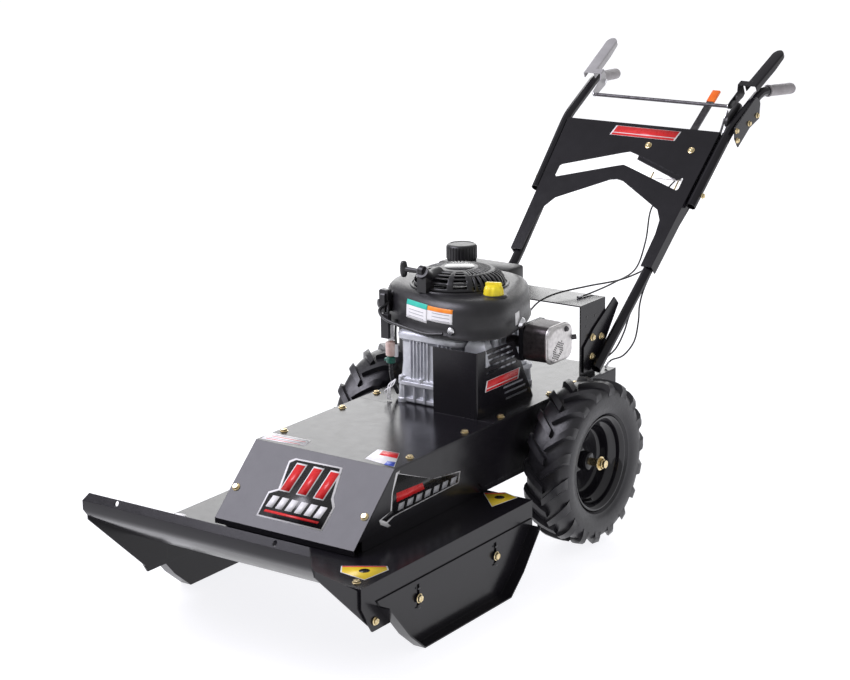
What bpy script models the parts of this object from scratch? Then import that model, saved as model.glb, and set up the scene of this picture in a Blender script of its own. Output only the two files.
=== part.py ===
"""A walk-behind brush mower: a cutting deck in front of a two-wheel powered chassis, with a raised handle.

Metres, +Z up. The machine drives towards -Y and its left side is +X. The origin is on the ground, under the
middle of the whole machine.
"""

from math import acos, atan2, cos, pi, radians, sin, sqrt, tau

import bmesh
import bpy
from mathutils import Matrix, Vector

# Driving dimensions
GAP = 0.0003
SHEET = 0.003
HALF_LENGTH = 1.108

AXLE_Y = -0.0065
TYRE_RADIUS = 0.203
TYRE_MIDDLE = 0.290
RIM_LIP_RADIUS = 0.1165
AXLE_RADIUS = 0.0095
AXLE_END = 0.350

DECK_HALF_WIDTH = 0.319
DECK_FRONT = -0.951
DECK_REAR = -0.289
DECK_TOP = 0.1905
DECK_SKIRT = 0.082
DECK_SHEET = 0.0045
SPINDLE_Y = (DECK_FRONT + DECK_REAR) / 2
SKID_MIDDLE = -0.5970
SKID_SLOTS = (("front", -0.1565), ("rear", 0.1450))
SKID_BOLT_Z = 0.1055
BLADE_RADIUS = 0.303
BLADE_Z = 0.108

FRAME_HALF_WIDTH = 0.1965
FRAME_TOP = 0.3493
FRAME_BOTTOM = 0.205
FRAME_REAR = 0.300
COVER_FRONT = -0.8135
COVER_EDGE = -0.660
COVER_REAR = -0.267

ENGINE_X = -0.020
ENGINE_Y = -0.0865
SUMP_TOP = 0.405
BLOCK_TOP = 0.528
SHROUD_BOTTOM = 0.533
SHROUD_TOP = 0.6230
DOME_RADIUS = 0.112
CRANK_RADIUS = 0.0127

BRIDGE_HALF_WIDTH = 0.178
BRIDGE_FRONT = 0.155
BRIDGE_REAR = 0.2755
BRIDGE_TOP = 0.539

PANEL_TOP_Y = 0.768
PANEL_TOP_Z = 0.8924
PANEL_SLOPE = radians(43.2)
PANEL_LENGTH = 0.447
PANEL_TOP_HALF = 0.236
PANEL_BOTTOM_HALF = 0.2160
HANDLE_TUBE_RADIUS = 0.0135
GRIP_RADIUS = 0.0155
LEVER_PIVOT = (0.9235, 0.975)
CROSS_ROD = (0.8645, 0.946)
UPPER_TUBE_MIDDLE = (0.850, 0.9237)

BLADE_BELT_Z = 0.2395
DRIVE_BELT_Z = 0.2910
INPUT_Y = 0.100
GROOVE_DEPTH = 0.010
GROOVE_HALF = 0.0067
PULLEY_HALF = 0.0107
SPINDLE_PULLEY_RADIUS = 0.062
ENGINE_BLADE_PULLEY_RADIUS = 0.050
ENGINE_DRIVE_PULLEY_RADIUS = 0.036
INPUT_PULLEY_RADIUS = 0.070
BELT_HALF_WIDTH = 0.0060
IDLER_RADIUS = 0.025

CABLE_DIAMETER = 0.0045


# Materials

def finish(name, colour, roughness, metallic):
    material = bpy.data.materials.new(name)
    material.use_nodes = True
    shader = material.node_tree.nodes["Principled BSDF"]
    shader.inputs["Base Color"].default_value = (*colour, 1.0)
    shader.inputs["Roughness"].default_value = roughness
    shader.inputs["Metallic"].default_value = metallic
    return material


def make_finishes():
    return {
        "black_paint": finish("black_paint", (0.020, 0.018, 0.022), 0.30, 0.0),
        "cast_aluminium": finish("cast_aluminium", (0.55, 0.56, 0.60), 0.45, 0.9),
        "black_plastic": finish("black_plastic", (0.025, 0.025, 0.027), 0.50, 0.0),
        "bright_steel": finish("bright_steel", (0.50, 0.50, 0.52), 0.35, 1.0),
        "zinc": finish("zinc", (0.75, 0.62, 0.35), 0.35, 1.0),
        "tyre_rubber": finish("tyre_rubber", (0.030, 0.030, 0.032), 0.75, 0.0),
        "grip_rubber": finish("grip_rubber", (0.30, 0.30, 0.33), 0.60, 0.0),
        "yellow_plastic": finish("yellow_plastic", (0.90, 0.78, 0.08), 0.40, 0.0),
        "orange_vinyl": finish("orange_vinyl", (0.90, 0.30, 0.03), 0.45, 0.0),
        "belt_rubber": finish("belt_rubber", (0.04, 0.04, 0.04), 0.80, 0.0),
        "cable_jacket": finish("cable_jacket", (0.03, 0.03, 0.03), 0.50, 0.0),
        "galvanised": finish("galvanised", (0.45, 0.45, 0.48), 0.50, 0.8),
    }


# Shape helpers

def link(name, mesh, material, pivot):
    """Makes the object with its origin on the pivot, and leaves its shape where it was drawn."""
    mesh.transform(Matrix.Translation(-Vector(pivot)))
    piece = bpy.data.objects.new(name, mesh)
    piece.location = pivot
    piece.data.materials.append(material)
    bpy.context.scene.collection.objects.link(piece)
    return piece


def close(name, shape, material, pivot):
    """Turns a closed bmesh into an object whose faces point out."""
    bmesh.ops.remove_doubles(shape, verts=shape.verts, dist=1e-6)
    bmesh.ops.recalc_face_normals(shape, faces=shape.faces)
    mesh = bpy.data.meshes.new(name)
    shape.to_mesh(mesh)
    shape.free()
    return link(name, mesh, material, pivot)


def smooth(piece, angle=40):
    piece.data.shade_smooth()
    piece.data.set_sharp_from_angle(angle=radians(angle))
    return piece


def placed(axis, flat, height):
    """A point given in the plane across an axis, and its height along that axis."""
    first, second = flat
    if axis == "x":
        return (height, first, second)
    if axis == "y":
        return (first, height, second)
    return (first, second, height)


def prism(name, material, axis, outline, low, high, pivot=(0, 0, 0)):
    """An outline extruded along an axis from low to high."""
    shape = bmesh.new()
    corners = [shape.verts.new(placed(axis, point, low)) for point in outline]
    base = shape.faces.new(corners)
    grown = bmesh.ops.extrude_face_region(shape, geom=[base])
    lifted = [item for item in grown["geom"] if isinstance(item, bmesh.types.BMVert)]
    bmesh.ops.translate(shape, verts=lifted, vec=placed(axis, (0, 0), high - low))
    return close(name, shape, material, pivot)


def box(name, material, low, high, pivot=(0, 0, 0)):
    outline = [(low[0], low[1]), (high[0], low[1]), (high[0], high[1]), (low[0], high[1])]
    return prism(name, material, "z", outline, low[2], high[2], pivot)


def turned(name, material, axis, centre, profile, steps, pivot=(0, 0, 0)):
    """A closed profile of (radius, height) points spun about an axis through the centre, given across it."""
    shape = bmesh.new()
    across = {"x": (0, 1), "y": (1, 0), "z": (1, 0)}[axis]
    points = []
    for radius, height in profile:
        flat = (centre[0] + radius * across[0], centre[1] + radius * across[1])
        points.append(shape.verts.new(placed(axis, flat, height)))
    around = list(zip(points, profile)) + [(points[0], profile[0])]
    edges = []
    for (start, start_at), (end, end_at) in zip(around, around[1:]):
        if start_at[0] > 0 or end_at[0] > 0:
            edges.append(shape.edges.new((start, end)))
    bmesh.ops.spin(
        shape,
        geom=points + edges,
        cent=placed(axis, centre, 0),
        axis=placed(axis, (0, 0), 1),
        angle=tau,
        steps=steps,
        use_merge=False,
        use_duplicate=False,
    )
    bmesh.ops.remove_doubles(shape, verts=shape.verts, dist=1e-5)
    return smooth(close(name, shape, material, pivot))


def rod(name, material, axis, centre, radius, low, high, steps=16, pivot=(0, 0, 0)):
    profile = [(0, low), (radius, low), (radius, high), (0, high)]
    return turned(name, material, axis, centre, profile, steps, pivot)


def sheet(name, material, faces, thickness, side=1, pivot=(0, 0, 0)):
    """Bent sheet metal: faces drawn on its outer surface, joined along shared edges, thickened inwards.

    The faces are given for the left side and wind anticlockwise seen from outside.
    With side -1 they are mirrored.
    """
    shape = bmesh.new()
    found = {}
    for face in faces:
        corners = []
        for x, y, z in face:
            key = (round(side * x, 6), round(y, 6), round(z, 6))
            if key not in found:
                found[key] = shape.verts.new(key)
            corners.append(found[key])
        shape.faces.new(corners if side > 0 else corners[::-1])
    mesh = bpy.data.meshes.new(name)
    shape.to_mesh(mesh)
    shape.free()
    piece = link(name, mesh, material, pivot)
    thicken = piece.modifiers.new("thickness", "SOLIDIFY")
    thicken.thickness = thickness
    thicken.offset = -1
    thicken.use_even_offset = True
    thicken.use_quality_normals = True
    return piece


def skin(name, material, loops, pivot=(0, 0, 0)):
    """A closed surface through loops of equally many points, the last loop joined to the first."""
    shape = bmesh.new()
    rings = [[shape.verts.new(point) for point in loop] for loop in loops]
    for first, second in zip(rings, rings[1:] + rings[:1]):
        for start, end in zip(range(len(first)), [*range(1, len(first)), 0]):
            shape.faces.new((first[start], first[end], second[end], second[start]))
    return smooth(close(name, shape, material, pivot))


def swept(name, material, path, radius, bore, sides=12, pivot=(0, 0, 0)):
    """A round pipe along a path, open at both ends."""
    points = [Vector(point) for point in path]
    before = points[:1] + points[:-1]
    after = points[1:] + points[-1:]
    tangents = [(end - start).normalized() for start, end in zip(before, after)]
    across = tangents[0].orthogonal().normalized()
    outer, inner = [], []
    for point, tangent in zip(points, tangents):
        across = (across - tangent * across.dot(tangent)).normalized()
        other = tangent.cross(across)
        around = [across * cos(tau * turn / sides) + other * sin(tau * turn / sides) for turn in range(sides)]
        outer.append([point + radius * way for way in around])
        inner.append([point + bore * way for way in around])
    return skin(name, material, outer + inner[::-1], pivot)


def rounded_path(corners, reach, steps):
    """A path with straight runs, and each corner eased over a reach on both sides of it."""
    corners = [Vector(corner) for corner in corners]
    path = [corners[0]]
    for before, corner, after in zip(corners, corners[1:], corners[2:]):
        start = corner + (before - corner).normalized() * min(reach, (before - corner).length * 0.45)
        end = corner + (after - corner).normalized() * min(reach, (after - corner).length * 0.45)
        for step in range(steps + 1):
            t = step / steps
            path.append(start * (1 - t) ** 2 + corner * 2 * t * (1 - t) + end * t**2)
    return path + [corners[-1]]


def aimed(piece, start, end):
    """Moves a shape drawn up the z axis so that it runs from start towards end."""
    start, end = Vector(start), Vector(end)
    turn = (end - start).to_track_quat("Z", "Y").to_matrix().to_4x4()
    piece.data.transform(Matrix.Translation(start) @ turn)
    return piece


def cutter(piece):
    piece.hide_render = True
    piece.display_type = "WIRE"
    return piece


def combine(piece, tool, operation):
    """Cuts the tool from the piece, or joins it on, and hides the tool."""
    change = piece.modifiers.new(tool.name, "BOOLEAN")
    change.operation = operation
    change.object = cutter(tool)
    return piece


def drill(piece, name, axis, centre, radius, low, high, steps=16):
    return combine(piece, rod(name, None, axis, centre, radius, low, high, steps), "DIFFERENCE")


def round_edges(piece, width, segments, angle=40):
    bevel = piece.modifiers.new("rounding", "BEVEL")
    bevel.width = width
    bevel.segments = segments
    bevel.limit_method = "ANGLE"
    bevel.angle_limit = radians(angle)
    return smooth(piece)


def curve_through(points, spacing):
    """Points on a smooth curve through the given ones, about one spacing apart."""
    knots = [Vector(point) for point in points]
    knots = [knots[0] * 2 - knots[1]] + knots + [knots[-1] * 2 - knots[-2]]
    found = []
    for before, start, end, after in zip(knots, knots[1:], knots[2:], knots[3:]):
        steps = max(1, round((end - start).length / spacing))
        for step in range(steps):
            t = step / steps
            found.append(
                0.5
                * (
                    2 * start
                    + (end - before) * t
                    + (2 * before - 5 * start + 4 * end - after) * t * t
                    + (3 * start - before - 3 * end + after) * t * t * t
                )
            )
    found.append(knots[-2])
    return found


def side_name(name, side):
    return name + ("_left" if side > 0 else "_right")


# Deck

def deck_shell(finishes):
    """Folded steel: flat top, side walls with a chamfered front corner, and a shorter rear wall."""
    w, f, r, t = DECK_HALF_WIDTH, DECK_FRONT, DECK_REAR, DECK_TOP
    wall_break = t - 0.046
    skirt_front = f + 0.037
    rear_skirt = 0.125
    top = [(-w, f, t), (w, f, t), (w, r, t), (-w, r, t)]
    wall = [
        (w, f, t), (w, f, wall_break), (w, skirt_front, DECK_SKIRT), (w, r, DECK_SKIRT),
        (w, r, rear_skirt), (w, r, t),
    ]
    far_wall = [(-x, y, z) for x, y, z in reversed(wall)]
    rear = [(w, r, t), (w, r, rear_skirt), (-w, r, rear_skirt), (-w, r, t)]
    piece = sheet("deck_shell", finishes["black_paint"], [top, wall, far_wall, rear], DECK_SHEET)
    for side in (1, -1):
        for place, offset in SKID_SLOTS:
            at = (SKID_MIDDLE + offset, SKID_BOLT_Z)
            shank = rod(
                side_name(place + "_skid_bolt", side), None, "x", at, 0.005,
                *sorted((side * 0.316, side * 0.325)),
            )
            combine(piece, shank, "UNION")
            head = (side * (DECK_HALF_WIDTH + GAP + SHEET + GAP), side * 0.3295)
            hexagon = rod(side_name(place + "_skid_bolt_head", side), None, "x", at, 0.0095, *sorted(head), 6)
            combine(piece, hexagon, "UNION")
    return drill(piece, "deck_spindle_hole", "z", (0, SPINDLE_Y), 0.0375, DECK_SKIRT, FRAME_BOTTOM, 24)


def front_guard(finishes):
    """An apron that rises forward from the deck to a rolled push bar, with a wing inside each deck wall."""
    half = DECK_HALF_WIDTH - DECK_SHEET - 0.0007
    under = DECK_TOP - DECK_SHEET - GAP
    back = DECK_FRONT + 0.101
    bend = DECK_FRONT - 0.002
    profile = [
        (back, under),
        (bend, under),
        (-HALF_LENGTH + 0.0121, 0.2766),
        (-HALF_LENGTH + SHEET, 0.2909),
        (-HALF_LENGTH + SHEET, 0.3102),
        (-HALF_LENGTH + 0.0135, 0.3253),
    ]
    corner = 0.011
    halves = [half, half, half, half, half, half - corner]
    faces = []
    for (start, width), (end, next_width) in zip(zip(profile, halves), zip(profile[1:], halves[1:])):
        faces.append([(width, *start), (-width, *start), (-next_width, *end), (next_width, *end)])
    wing = [
        (half, *profile[1]),
        (half, *profile[2]),
        (half, -HALF_LENGTH + 0.0125, 0.2630),
        (half, DECK_FRONT + 0.0335, 0.093),
        (half, back, 0.093),
        (half, *profile[0]),
    ]
    faces.append(wing)
    faces.append([(-x, y, z) for x, y, z in reversed(wing)])
    piece = sheet("front_guard", finishes["black_paint"], faces, SHEET)
    for side in (1, -1):
        name = side_name("guard_hole", side)
        drill(piece, name, "y", (side * 0.218, 0.3195), 0.0055, -HALF_LENGTH - 0.02, -HALF_LENGTH + 0.03, 12)
    return piece


def skid_shoe(finishes, side):
    """A plate on the deck wall with its lower edges bent out into a runner, and two slots for height."""
    middle = SKID_MIDDLE
    inner = DECK_HALF_WIDTH + GAP
    outer = AXLE_END
    lower = [(-0.2965, 0.132), (-0.2235, 0.045), (-0.171, 0), (0.171, 0), (0.2235, 0.045), (0.2965, 0.132)]
    upper = [(0.3025, 0.147), (-0.3025, 0.147)]
    plate = [(inner, middle + y, z) for y, z in lower + upper]
    faces = [plate[::-1]]
    for (y0, z0), (y1, z1) in zip(lower, lower[1:]):
        y0, y1 = middle + y0, middle + y1
        faces.append([(inner, y0, z0), (inner, y1, z1), (outer, y1, z1), (outer, y0, z0)])
    pivot = (side * inner, middle, SKID_BOLT_Z)
    piece = sheet(side_name("skid_shoe", side), finishes["black_paint"], faces, SHEET, side, pivot)
    for place, offset in SKID_SLOTS:
        y = middle + offset
        slot_name = side_name("skid_slot_" + place, side)
        low = (min(side * 0.30, side * 0.34), y - 0.0055, 0.088)
        high = (max(side * 0.30, side * 0.34), y + 0.0055, 0.137)
        combine(piece, box(slot_name, None, low, high), "DIFFERENCE")
    return piece


def blade_spindle(finishes):
    """Housing on the deck, and the shaft, pulley and blade that turn in it."""
    axis = (0, SPINDLE_Y, 0)
    centre = (0, SPINDLE_Y)
    bore = 0.0158
    housing = [
        (bore, 0.150),
        (0.034, 0.150),
        (0.034, DECK_TOP + GAP),
        (0.070, DECK_TOP + GAP),
        (0.070, DECK_TOP + 0.007),
        (0.036, DECK_TOP + 0.010),
        (0.034, 0.226),
        (bore, 0.226),
    ]
    turned("spindle_housing", finishes["cast_aluminium"], "z", centre, housing, 20)
    blade_top = BLADE_Z + 0.006
    shaft = [
        (0, BLADE_Z - 0.014),
        (0.018, BLADE_Z - 0.014),
        (0.018, BLADE_Z - GAP),
        (0.012, BLADE_Z - GAP),
        (0.012, blade_top + GAP),
        (0.045, blade_top + GAP),
        (0.045, blade_top + 0.009),
        (0.022, 0.149),
        (0.015, 0.1496),
        (0.015, 0.262),
        (0, 0.262),
    ]
    turned("spindle_shaft", finishes["bright_steel"], "z", centre, shaft, 20, axis)
    pulley("spindle_pulley", finishes, centre, BLADE_BELT_Z, SPINDLE_PULLEY_RADIUS, 0.0153, axis)
    blade = cutting_blade(finishes, axis)
    drill(blade, "blade_bore", "z", centre, 0.0123, BLADE_Z - 0.02, BLADE_Z + 0.02, 20)


def cutting_blade(finishes, axis):
    """A straight bar blade with ends cut to the blade circle and its leading edges ground back."""
    half = 0.032
    reach = sqrt(BLADE_RADIUS**2 - half**2)
    ground = 0.105
    quarter = [(reach, -half), (BLADE_RADIUS, 0), (reach, half - 0.008), (reach - ground, half)]
    outline = quarter + [(-x, -y) for x, y in quarter]
    outline = [(x, SPINDLE_Y + y) for x, y in outline]
    return prism("blade", finishes["bright_steel"], "z", outline, BLADE_Z, BLADE_Z + 0.006, axis)


# Belts and pulleys

def groove(radius, middle):
    """The rim of a pulley from its lower to its upper face, with a belt groove between them."""
    floor = radius - GROOVE_DEPTH
    return [
        (radius, middle - PULLEY_HALF),
        (radius, middle - GROOVE_HALF),
        (floor, middle - GROOVE_HALF),
        (floor, middle + GROOVE_HALF),
        (radius, middle + GROOVE_HALF),
        (radius, middle + PULLEY_HALF),
    ]


def pulley(name, finishes, centre, middle, radius, bore, pivot):
    profile = [(bore, middle - PULLEY_HALF), *groove(radius, middle), (bore, middle + PULLEY_HALF)]
    return turned(name, finishes["bright_steel"], "z", centre, profile, 20, pivot)


def belt_loop(first, first_radius, second, second_radius, steps=16):
    """The outline of an open belt round two pulleys."""
    span = Vector(second) - Vector(first)
    heading = atan2(span.y, span.x)
    wrap = acos((first_radius - second_radius) / span.length)
    outline = []
    for centre, radius, start, end in (
        (second, second_radius, heading - wrap, heading + wrap),
        (first, first_radius, heading + wrap, heading + tau - wrap),
    ):
        for step in range(steps + 1):
            angle = start + (end - start) * step / steps
            outline.append((centre[0] + radius * cos(angle), centre[1] + radius * sin(angle)))
    return outline


def belt(name, finishes, first, first_radius, second, second_radius, middle):
    depth = GROOVE_DEPTH - 0.001
    outer = belt_loop(first, first_radius, second, second_radius)
    inner = belt_loop(first, first_radius - depth, second, second_radius - depth)
    low, high = middle - BELT_HALF_WIDTH, middle + BELT_HALF_WIDTH
    loops = [(outer, low), (outer, high), (inner, high), (inner, low)]
    return skin(name, finishes["belt_rubber"], [[(x, y, z) for x, y in loop] for loop, z in loops])


def idler(name, finishes, pivot, centre, radius, middle):
    """A tensioner: an arm hung from the engine deck on a boss, with a flat pulley below its free end."""
    arm_low = middle + PULLEY_HALF + 0.0030
    arm_high = arm_low + 0.004
    along = (Vector(centre) - Vector(pivot)).normalized()
    outline = []
    for middle_point, way in ((Vector(pivot), -along), (Vector(centre), along)):
        start = atan2(way.y, way.x) - pi / 2
        for step in range(7):
            angle = start + pi * step / 6
            outline.append((middle_point.x + 0.012 * cos(angle), middle_point.y + 0.012 * sin(angle)))
    steel = finishes["galvanised"]
    arm = prism(name + "_arm", steel, "z", outline, arm_low, arm_high, (*pivot, arm_low))
    combine(
        arm, rod(name + "_boss", None, "z", pivot, 0.009, arm_low + 0.001, FRAME_TOP - SHEET - 0.0005),
        "UNION",
    )
    stud_low = middle - PULLEY_HALF - 0.001
    combine(arm, rod(name + "_stud", None, "z", centre, 0.005, stud_low, arm_low + 0.001), "UNION")
    low, high = middle - PULLEY_HALF, middle + PULLEY_HALF
    profile = [
        (0.0055, low),
        (radius + 0.002, low),
        (radius + 0.002, low + 0.0015),
        (radius, low + 0.0025),
        (radius, high - 0.0025),
        (radius + 0.002, high - 0.0015),
        (radius + 0.002, high),
        (0.0055, high),
    ]
    turned(name + "_pulley", finishes["bright_steel"], "z", centre, profile, 20, (*centre, middle))


def engine_pulley():
    """The two-step pulley keyed on the crankshaft, with the drive belt's groove above the blade belt's."""
    bore, neck = CRANK_RADIUS - GAP, 0.022
    profile = [(bore, BLADE_BELT_Z - PULLEY_HALF), *groove(ENGINE_BLADE_PULLEY_RADIUS, BLADE_BELT_Z)]
    profile += [(neck, BLADE_BELT_Z + PULLEY_HALF), (neck, DRIVE_BELT_Z - PULLEY_HALF)]
    profile += [*groove(ENGINE_DRIVE_PULLEY_RADIUS, DRIVE_BELT_Z), (bore, DRIVE_BELT_Z + PULLEY_HALF)]
    return turned("engine_pulley", None, "z", (ENGINE_X, ENGINE_Y), profile, 20)


def belt_drives(finishes):
    engine = (ENGINE_X, ENGINE_Y)
    spindle = (0, SPINDLE_Y)
    transmission = (ENGINE_X, INPUT_Y)
    blade_radii = (ENGINE_BLADE_PULLEY_RADIUS, SPINDLE_PULLEY_RADIUS)
    drive_radii = (ENGINE_DRIVE_PULLEY_RADIUS, INPUT_PULLEY_RADIUS)
    shaft_low = 0.2705
    profile = [(0, shaft_low), (0.0085, shaft_low), (0.0085, DRIVE_BELT_Z - PULLEY_HALF)]
    profile += [*groove(drive_radii[1], DRIVE_BELT_Z), (0, DRIVE_BELT_Z + PULLEY_HALF)]
    turned(
        "transaxle_pulley", finishes["bright_steel"], "z", transmission, profile, 20,
        (*transmission, DRIVE_BELT_Z),
    )
    belt("blade_belt", finishes, engine, blade_radii[0], spindle, blade_radii[1], BLADE_BELT_Z)
    belt("drive_belt", finishes, engine, drive_radii[0], transmission, drive_radii[1], DRIVE_BELT_Z)
    idler("blade_idler", finishes, (0.115, -0.235), (0.0790, -0.330), IDLER_RADIUS, BLADE_BELT_Z)
    idler("drive_idler", finishes, (0.120, 0.060), (0.0650, 0.000), 0.021, DRIVE_BELT_Z)


# Chassis

def chassis(finishes):
    """Two side plates with flanges turned in along their tops and sloped fronts, closed by a rear wall."""
    w = FRAME_HALF_WIDTH
    flange = 0.165
    top = FRAME_TOP - SHEET - GAP
    toe = (COVER_FRONT + 0.0197, 0.219)
    brow = (COVER_EDGE + 0.0013, top)
    strip = 0.12
    strip_y = toe[0] + (brow[0] - toe[0]) * strip
    strip_z = toe[1] + (brow[1] - toe[1]) * strip
    rear, low = FRAME_REAR, FRAME_BOTTOM
    plate = [(w, *toe), (w, -0.33, toe[1]), (w, -0.315, low), (w, rear, low), (w, rear, top), (w, *brow)]
    lip = [(w, *brow), (w, rear, top), (flange, rear, top), (flange, *brow)]
    front = [(-w, *toe), (w, *toe), (w, *brow), (flange, *brow), (flange, strip_y, strip_z)]
    front += [(-flange, strip_y, strip_z), (-flange, *brow), (-w, *brow)]
    back = [
        (w, rear, low), (-w, rear, low), (-w, rear, top), (-flange, rear, top), (flange, rear, top),
        (w, rear, top),
    ]
    faces = [plate, lip, front, back]
    faces += [[(-x, y, z) for x, y, z in reversed(face)] for face in (plate, lip)]
    piece = sheet("chassis", finishes["black_paint"], faces, SHEET)
    for side in (1, -1):
        combine(piece, frame_rail(side), "UNION")
    return drill(piece, "axle_notch", "x", (AXLE_Y, TYRE_RADIUS), 0.0205, -0.25, 0.25, 20)


def frame_rail(side):
    """An angle welded inside the side plate, that the deck is bolted up to."""
    outer = FRAME_HALF_WIDTH - SHEET + GAP
    low = DECK_TOP + GAP
    front, rear = -0.780, -0.060
    faces = [
        [(outer, front, low), (outer, rear, low), (outer, rear, low + 0.040), (outer, front, low + 0.040)],
        [(outer, front, low), (0.153, front, low), (0.153, rear, low), (outer, rear, low)],
    ]
    return sheet(side_name("frame_rail", side), None, faces, SHEET, side)


def belt_cover(finishes):
    """Sloped front and flat top over the belt, with a short skirt down to the deck."""
    w = FRAME_HALF_WIDTH
    skirt_bottom = DECK_TOP + 0.002
    path = [
        (COVER_FRONT, skirt_bottom), (COVER_FRONT, FRAME_BOTTOM), (COVER_EDGE, FRAME_TOP),
        (COVER_REAR, FRAME_TOP),
    ]
    faces = [[(-w, *a), (w, *a), (w, *b), (-w, *b)] for a, b in zip(path, path[1:])]
    return sheet("belt_cover", finishes["black_paint"], faces, SHEET)


def engine_deck(finishes):
    low, high = FRAME_TOP - SHEET, FRAME_TOP
    w = FRAME_HALF_WIDTH
    piece = box("engine_deck", finishes["black_paint"], (-w, COVER_REAR + 0.0005, low), (w, FRAME_REAR, high))
    return drill(piece, "crank_hole", "z", (ENGINE_X, ENGINE_Y), 0.030, low - 0.02, high + 0.02, 24)


def bridge_bracket(finishes):
    """An inverted channel across the rear of the engine deck, with sloped rear edges and feet turned out."""
    w, front, rear, top = BRIDGE_HALF_WIDTH, BRIDGE_FRONT, BRIDGE_REAR, BRIDGE_TOP
    foot = FRAME_TOP + GAP + SHEET
    foot_rear = 0.226
    roof = [(-w, front, top), (w, front, top), (w, rear, top), (-w, rear, top)]
    leg = [(w, front, foot), (w, foot_rear, foot), (w, rear, 0.497), (w, rear, top), (w, front, top)]
    pad = [
        (w, front, foot), (FRAME_HALF_WIDTH, front, foot), (FRAME_HALF_WIDTH, foot_rear, foot),
        (w, foot_rear, foot),
    ]
    faces = [roof, leg, pad]
    faces += [[(-x, y, z) for x, y, z in reversed(face)] for face in (leg, pad)]
    return sheet("bridge_bracket", finishes["black_paint"], faces, SHEET)


def handle_bracket(finishes, side):
    """A plate bolted to the outside of the bridge that the handle tube is bolted to."""
    inner = BRIDGE_HALF_WIDTH + GAP
    outline = [
        (0.165, 0.365), (0.215, 0.365), (0.250, 0.400), (0.335, 0.510), (0.315, 0.530), (0.215, 0.470),
        (0.165, 0.430),
    ]
    low, high = sorted((side * inner, side * (inner + 0.004)))
    return prism(side_name("handle_bracket", side), finishes["black_paint"], "x", outline, low, high)


# Engine

def outline_loop(height, inset):
    """The blower housing's plan at a height, drawn in towards the crankshaft by an inset."""
    plan = [
        (0.168, -0.185),
        (0.125, -0.242),
        (0.045, -0.259),
        (-0.045, -0.241),
        (-0.140, -0.200),
        (-0.207, -0.135),
        (-0.222, -0.040),
        (-0.195, 0.050),
        (-0.110, 0.100),
        (0.000, 0.110),
        (0.074, 0.082),
        (0.121, 0.008),
        (0.155, -0.090),
    ]
    steps = 3
    loop = []
    for place in range(len(plan)):
        before, start, end, after = (Vector(plan[(place + shift) % len(plan)]) for shift in (-1, 0, 1, 2))
        for step in range(steps):
            t = step / steps
            point = 2 * start + (end - before) * t + (2 * before - 5 * start + 4 * end - after) * t**2
            point = 0.5 * (point + (3 * start - before - 3 * end + after) * t**3)
            away = point - Vector((ENGINE_X, ENGINE_Y))
            point -= away.normalized() * inset
            loop.append((point.x, point.y, height))
    return loop


def circle_like(loop, height, radius):
    """A circle about the crankshaft with one point in line with each point of a loop."""
    centre = Vector((ENGINE_X, ENGINE_Y))
    ways = [(Vector(point[:2]) - centre).normalized() for point in loop]
    return [(centre.x + radius * way.x, centre.y + radius * way.y, height) for way in ways]


def blower_housing(finishes):
    """A hollow cowl, open below, with a round opening under the starter."""
    wall = 0.003
    rim = outline_loop(SHROUD_BOTTOM, 0)
    shoulder = SHROUD_TOP - 0.022
    outer = [
        rim,
        outline_loop(shoulder - 0.016, 0.003),
        outline_loop(shoulder, 0.007),
        outline_loop(SHROUD_TOP - 0.008, 0.017),
        outline_loop(SHROUD_TOP, 0.034),
        circle_like(rim, SHROUD_TOP, DOME_RADIUS - 0.008),
    ]
    inner = [
        circle_like(rim, SHROUD_TOP - wall, DOME_RADIUS - 0.008),
        outline_loop(SHROUD_TOP - wall, 0.036),
        outline_loop(SHROUD_TOP - 0.010, 0.020),
        outline_loop(shoulder, 0.010),
        outline_loop(shoulder - 0.016, 0.006),
        outline_loop(SHROUD_BOTTOM, wall),
    ]
    piece = skin("blower_housing", finishes["black_plastic"], outer + inner)
    return drill(piece, "filler_hole", "z", (0.115, -0.140), 0.0150, SHROUD_TOP - 0.02, SHROUD_TOP + 0.02, 16)


def starter_housing(finishes):
    """A shallow dome over the flywheel, with the rope guide on its front."""
    base = SHROUD_TOP + GAP
    edge = DOME_RADIUS
    outer = [
        (edge, base), (edge, base + 0.012), (edge - 0.006, base + 0.024), (0.084, base + 0.035),
        (0.050, base + 0.040),
    ]
    inner = [(0, base + 0.0375), (0.050, base + 0.0375), (0.083, base + 0.0325), (edge - 0.008, base + 0.022)]
    inner += [(edge - 0.0025, base + 0.011), (edge - 0.0025, base)]
    profile = outer + [(0, base + 0.042)] + inner
    piece = turned("starter_housing", finishes["black_plastic"], "z", (ENGINE_X, ENGINE_Y), profile, 32)
    guide = box("rope_guide", None, (-0.055, -0.216, base), (-0.030, -0.185, base + 0.055))
    return combine(piece, guide, "UNION")


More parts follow.
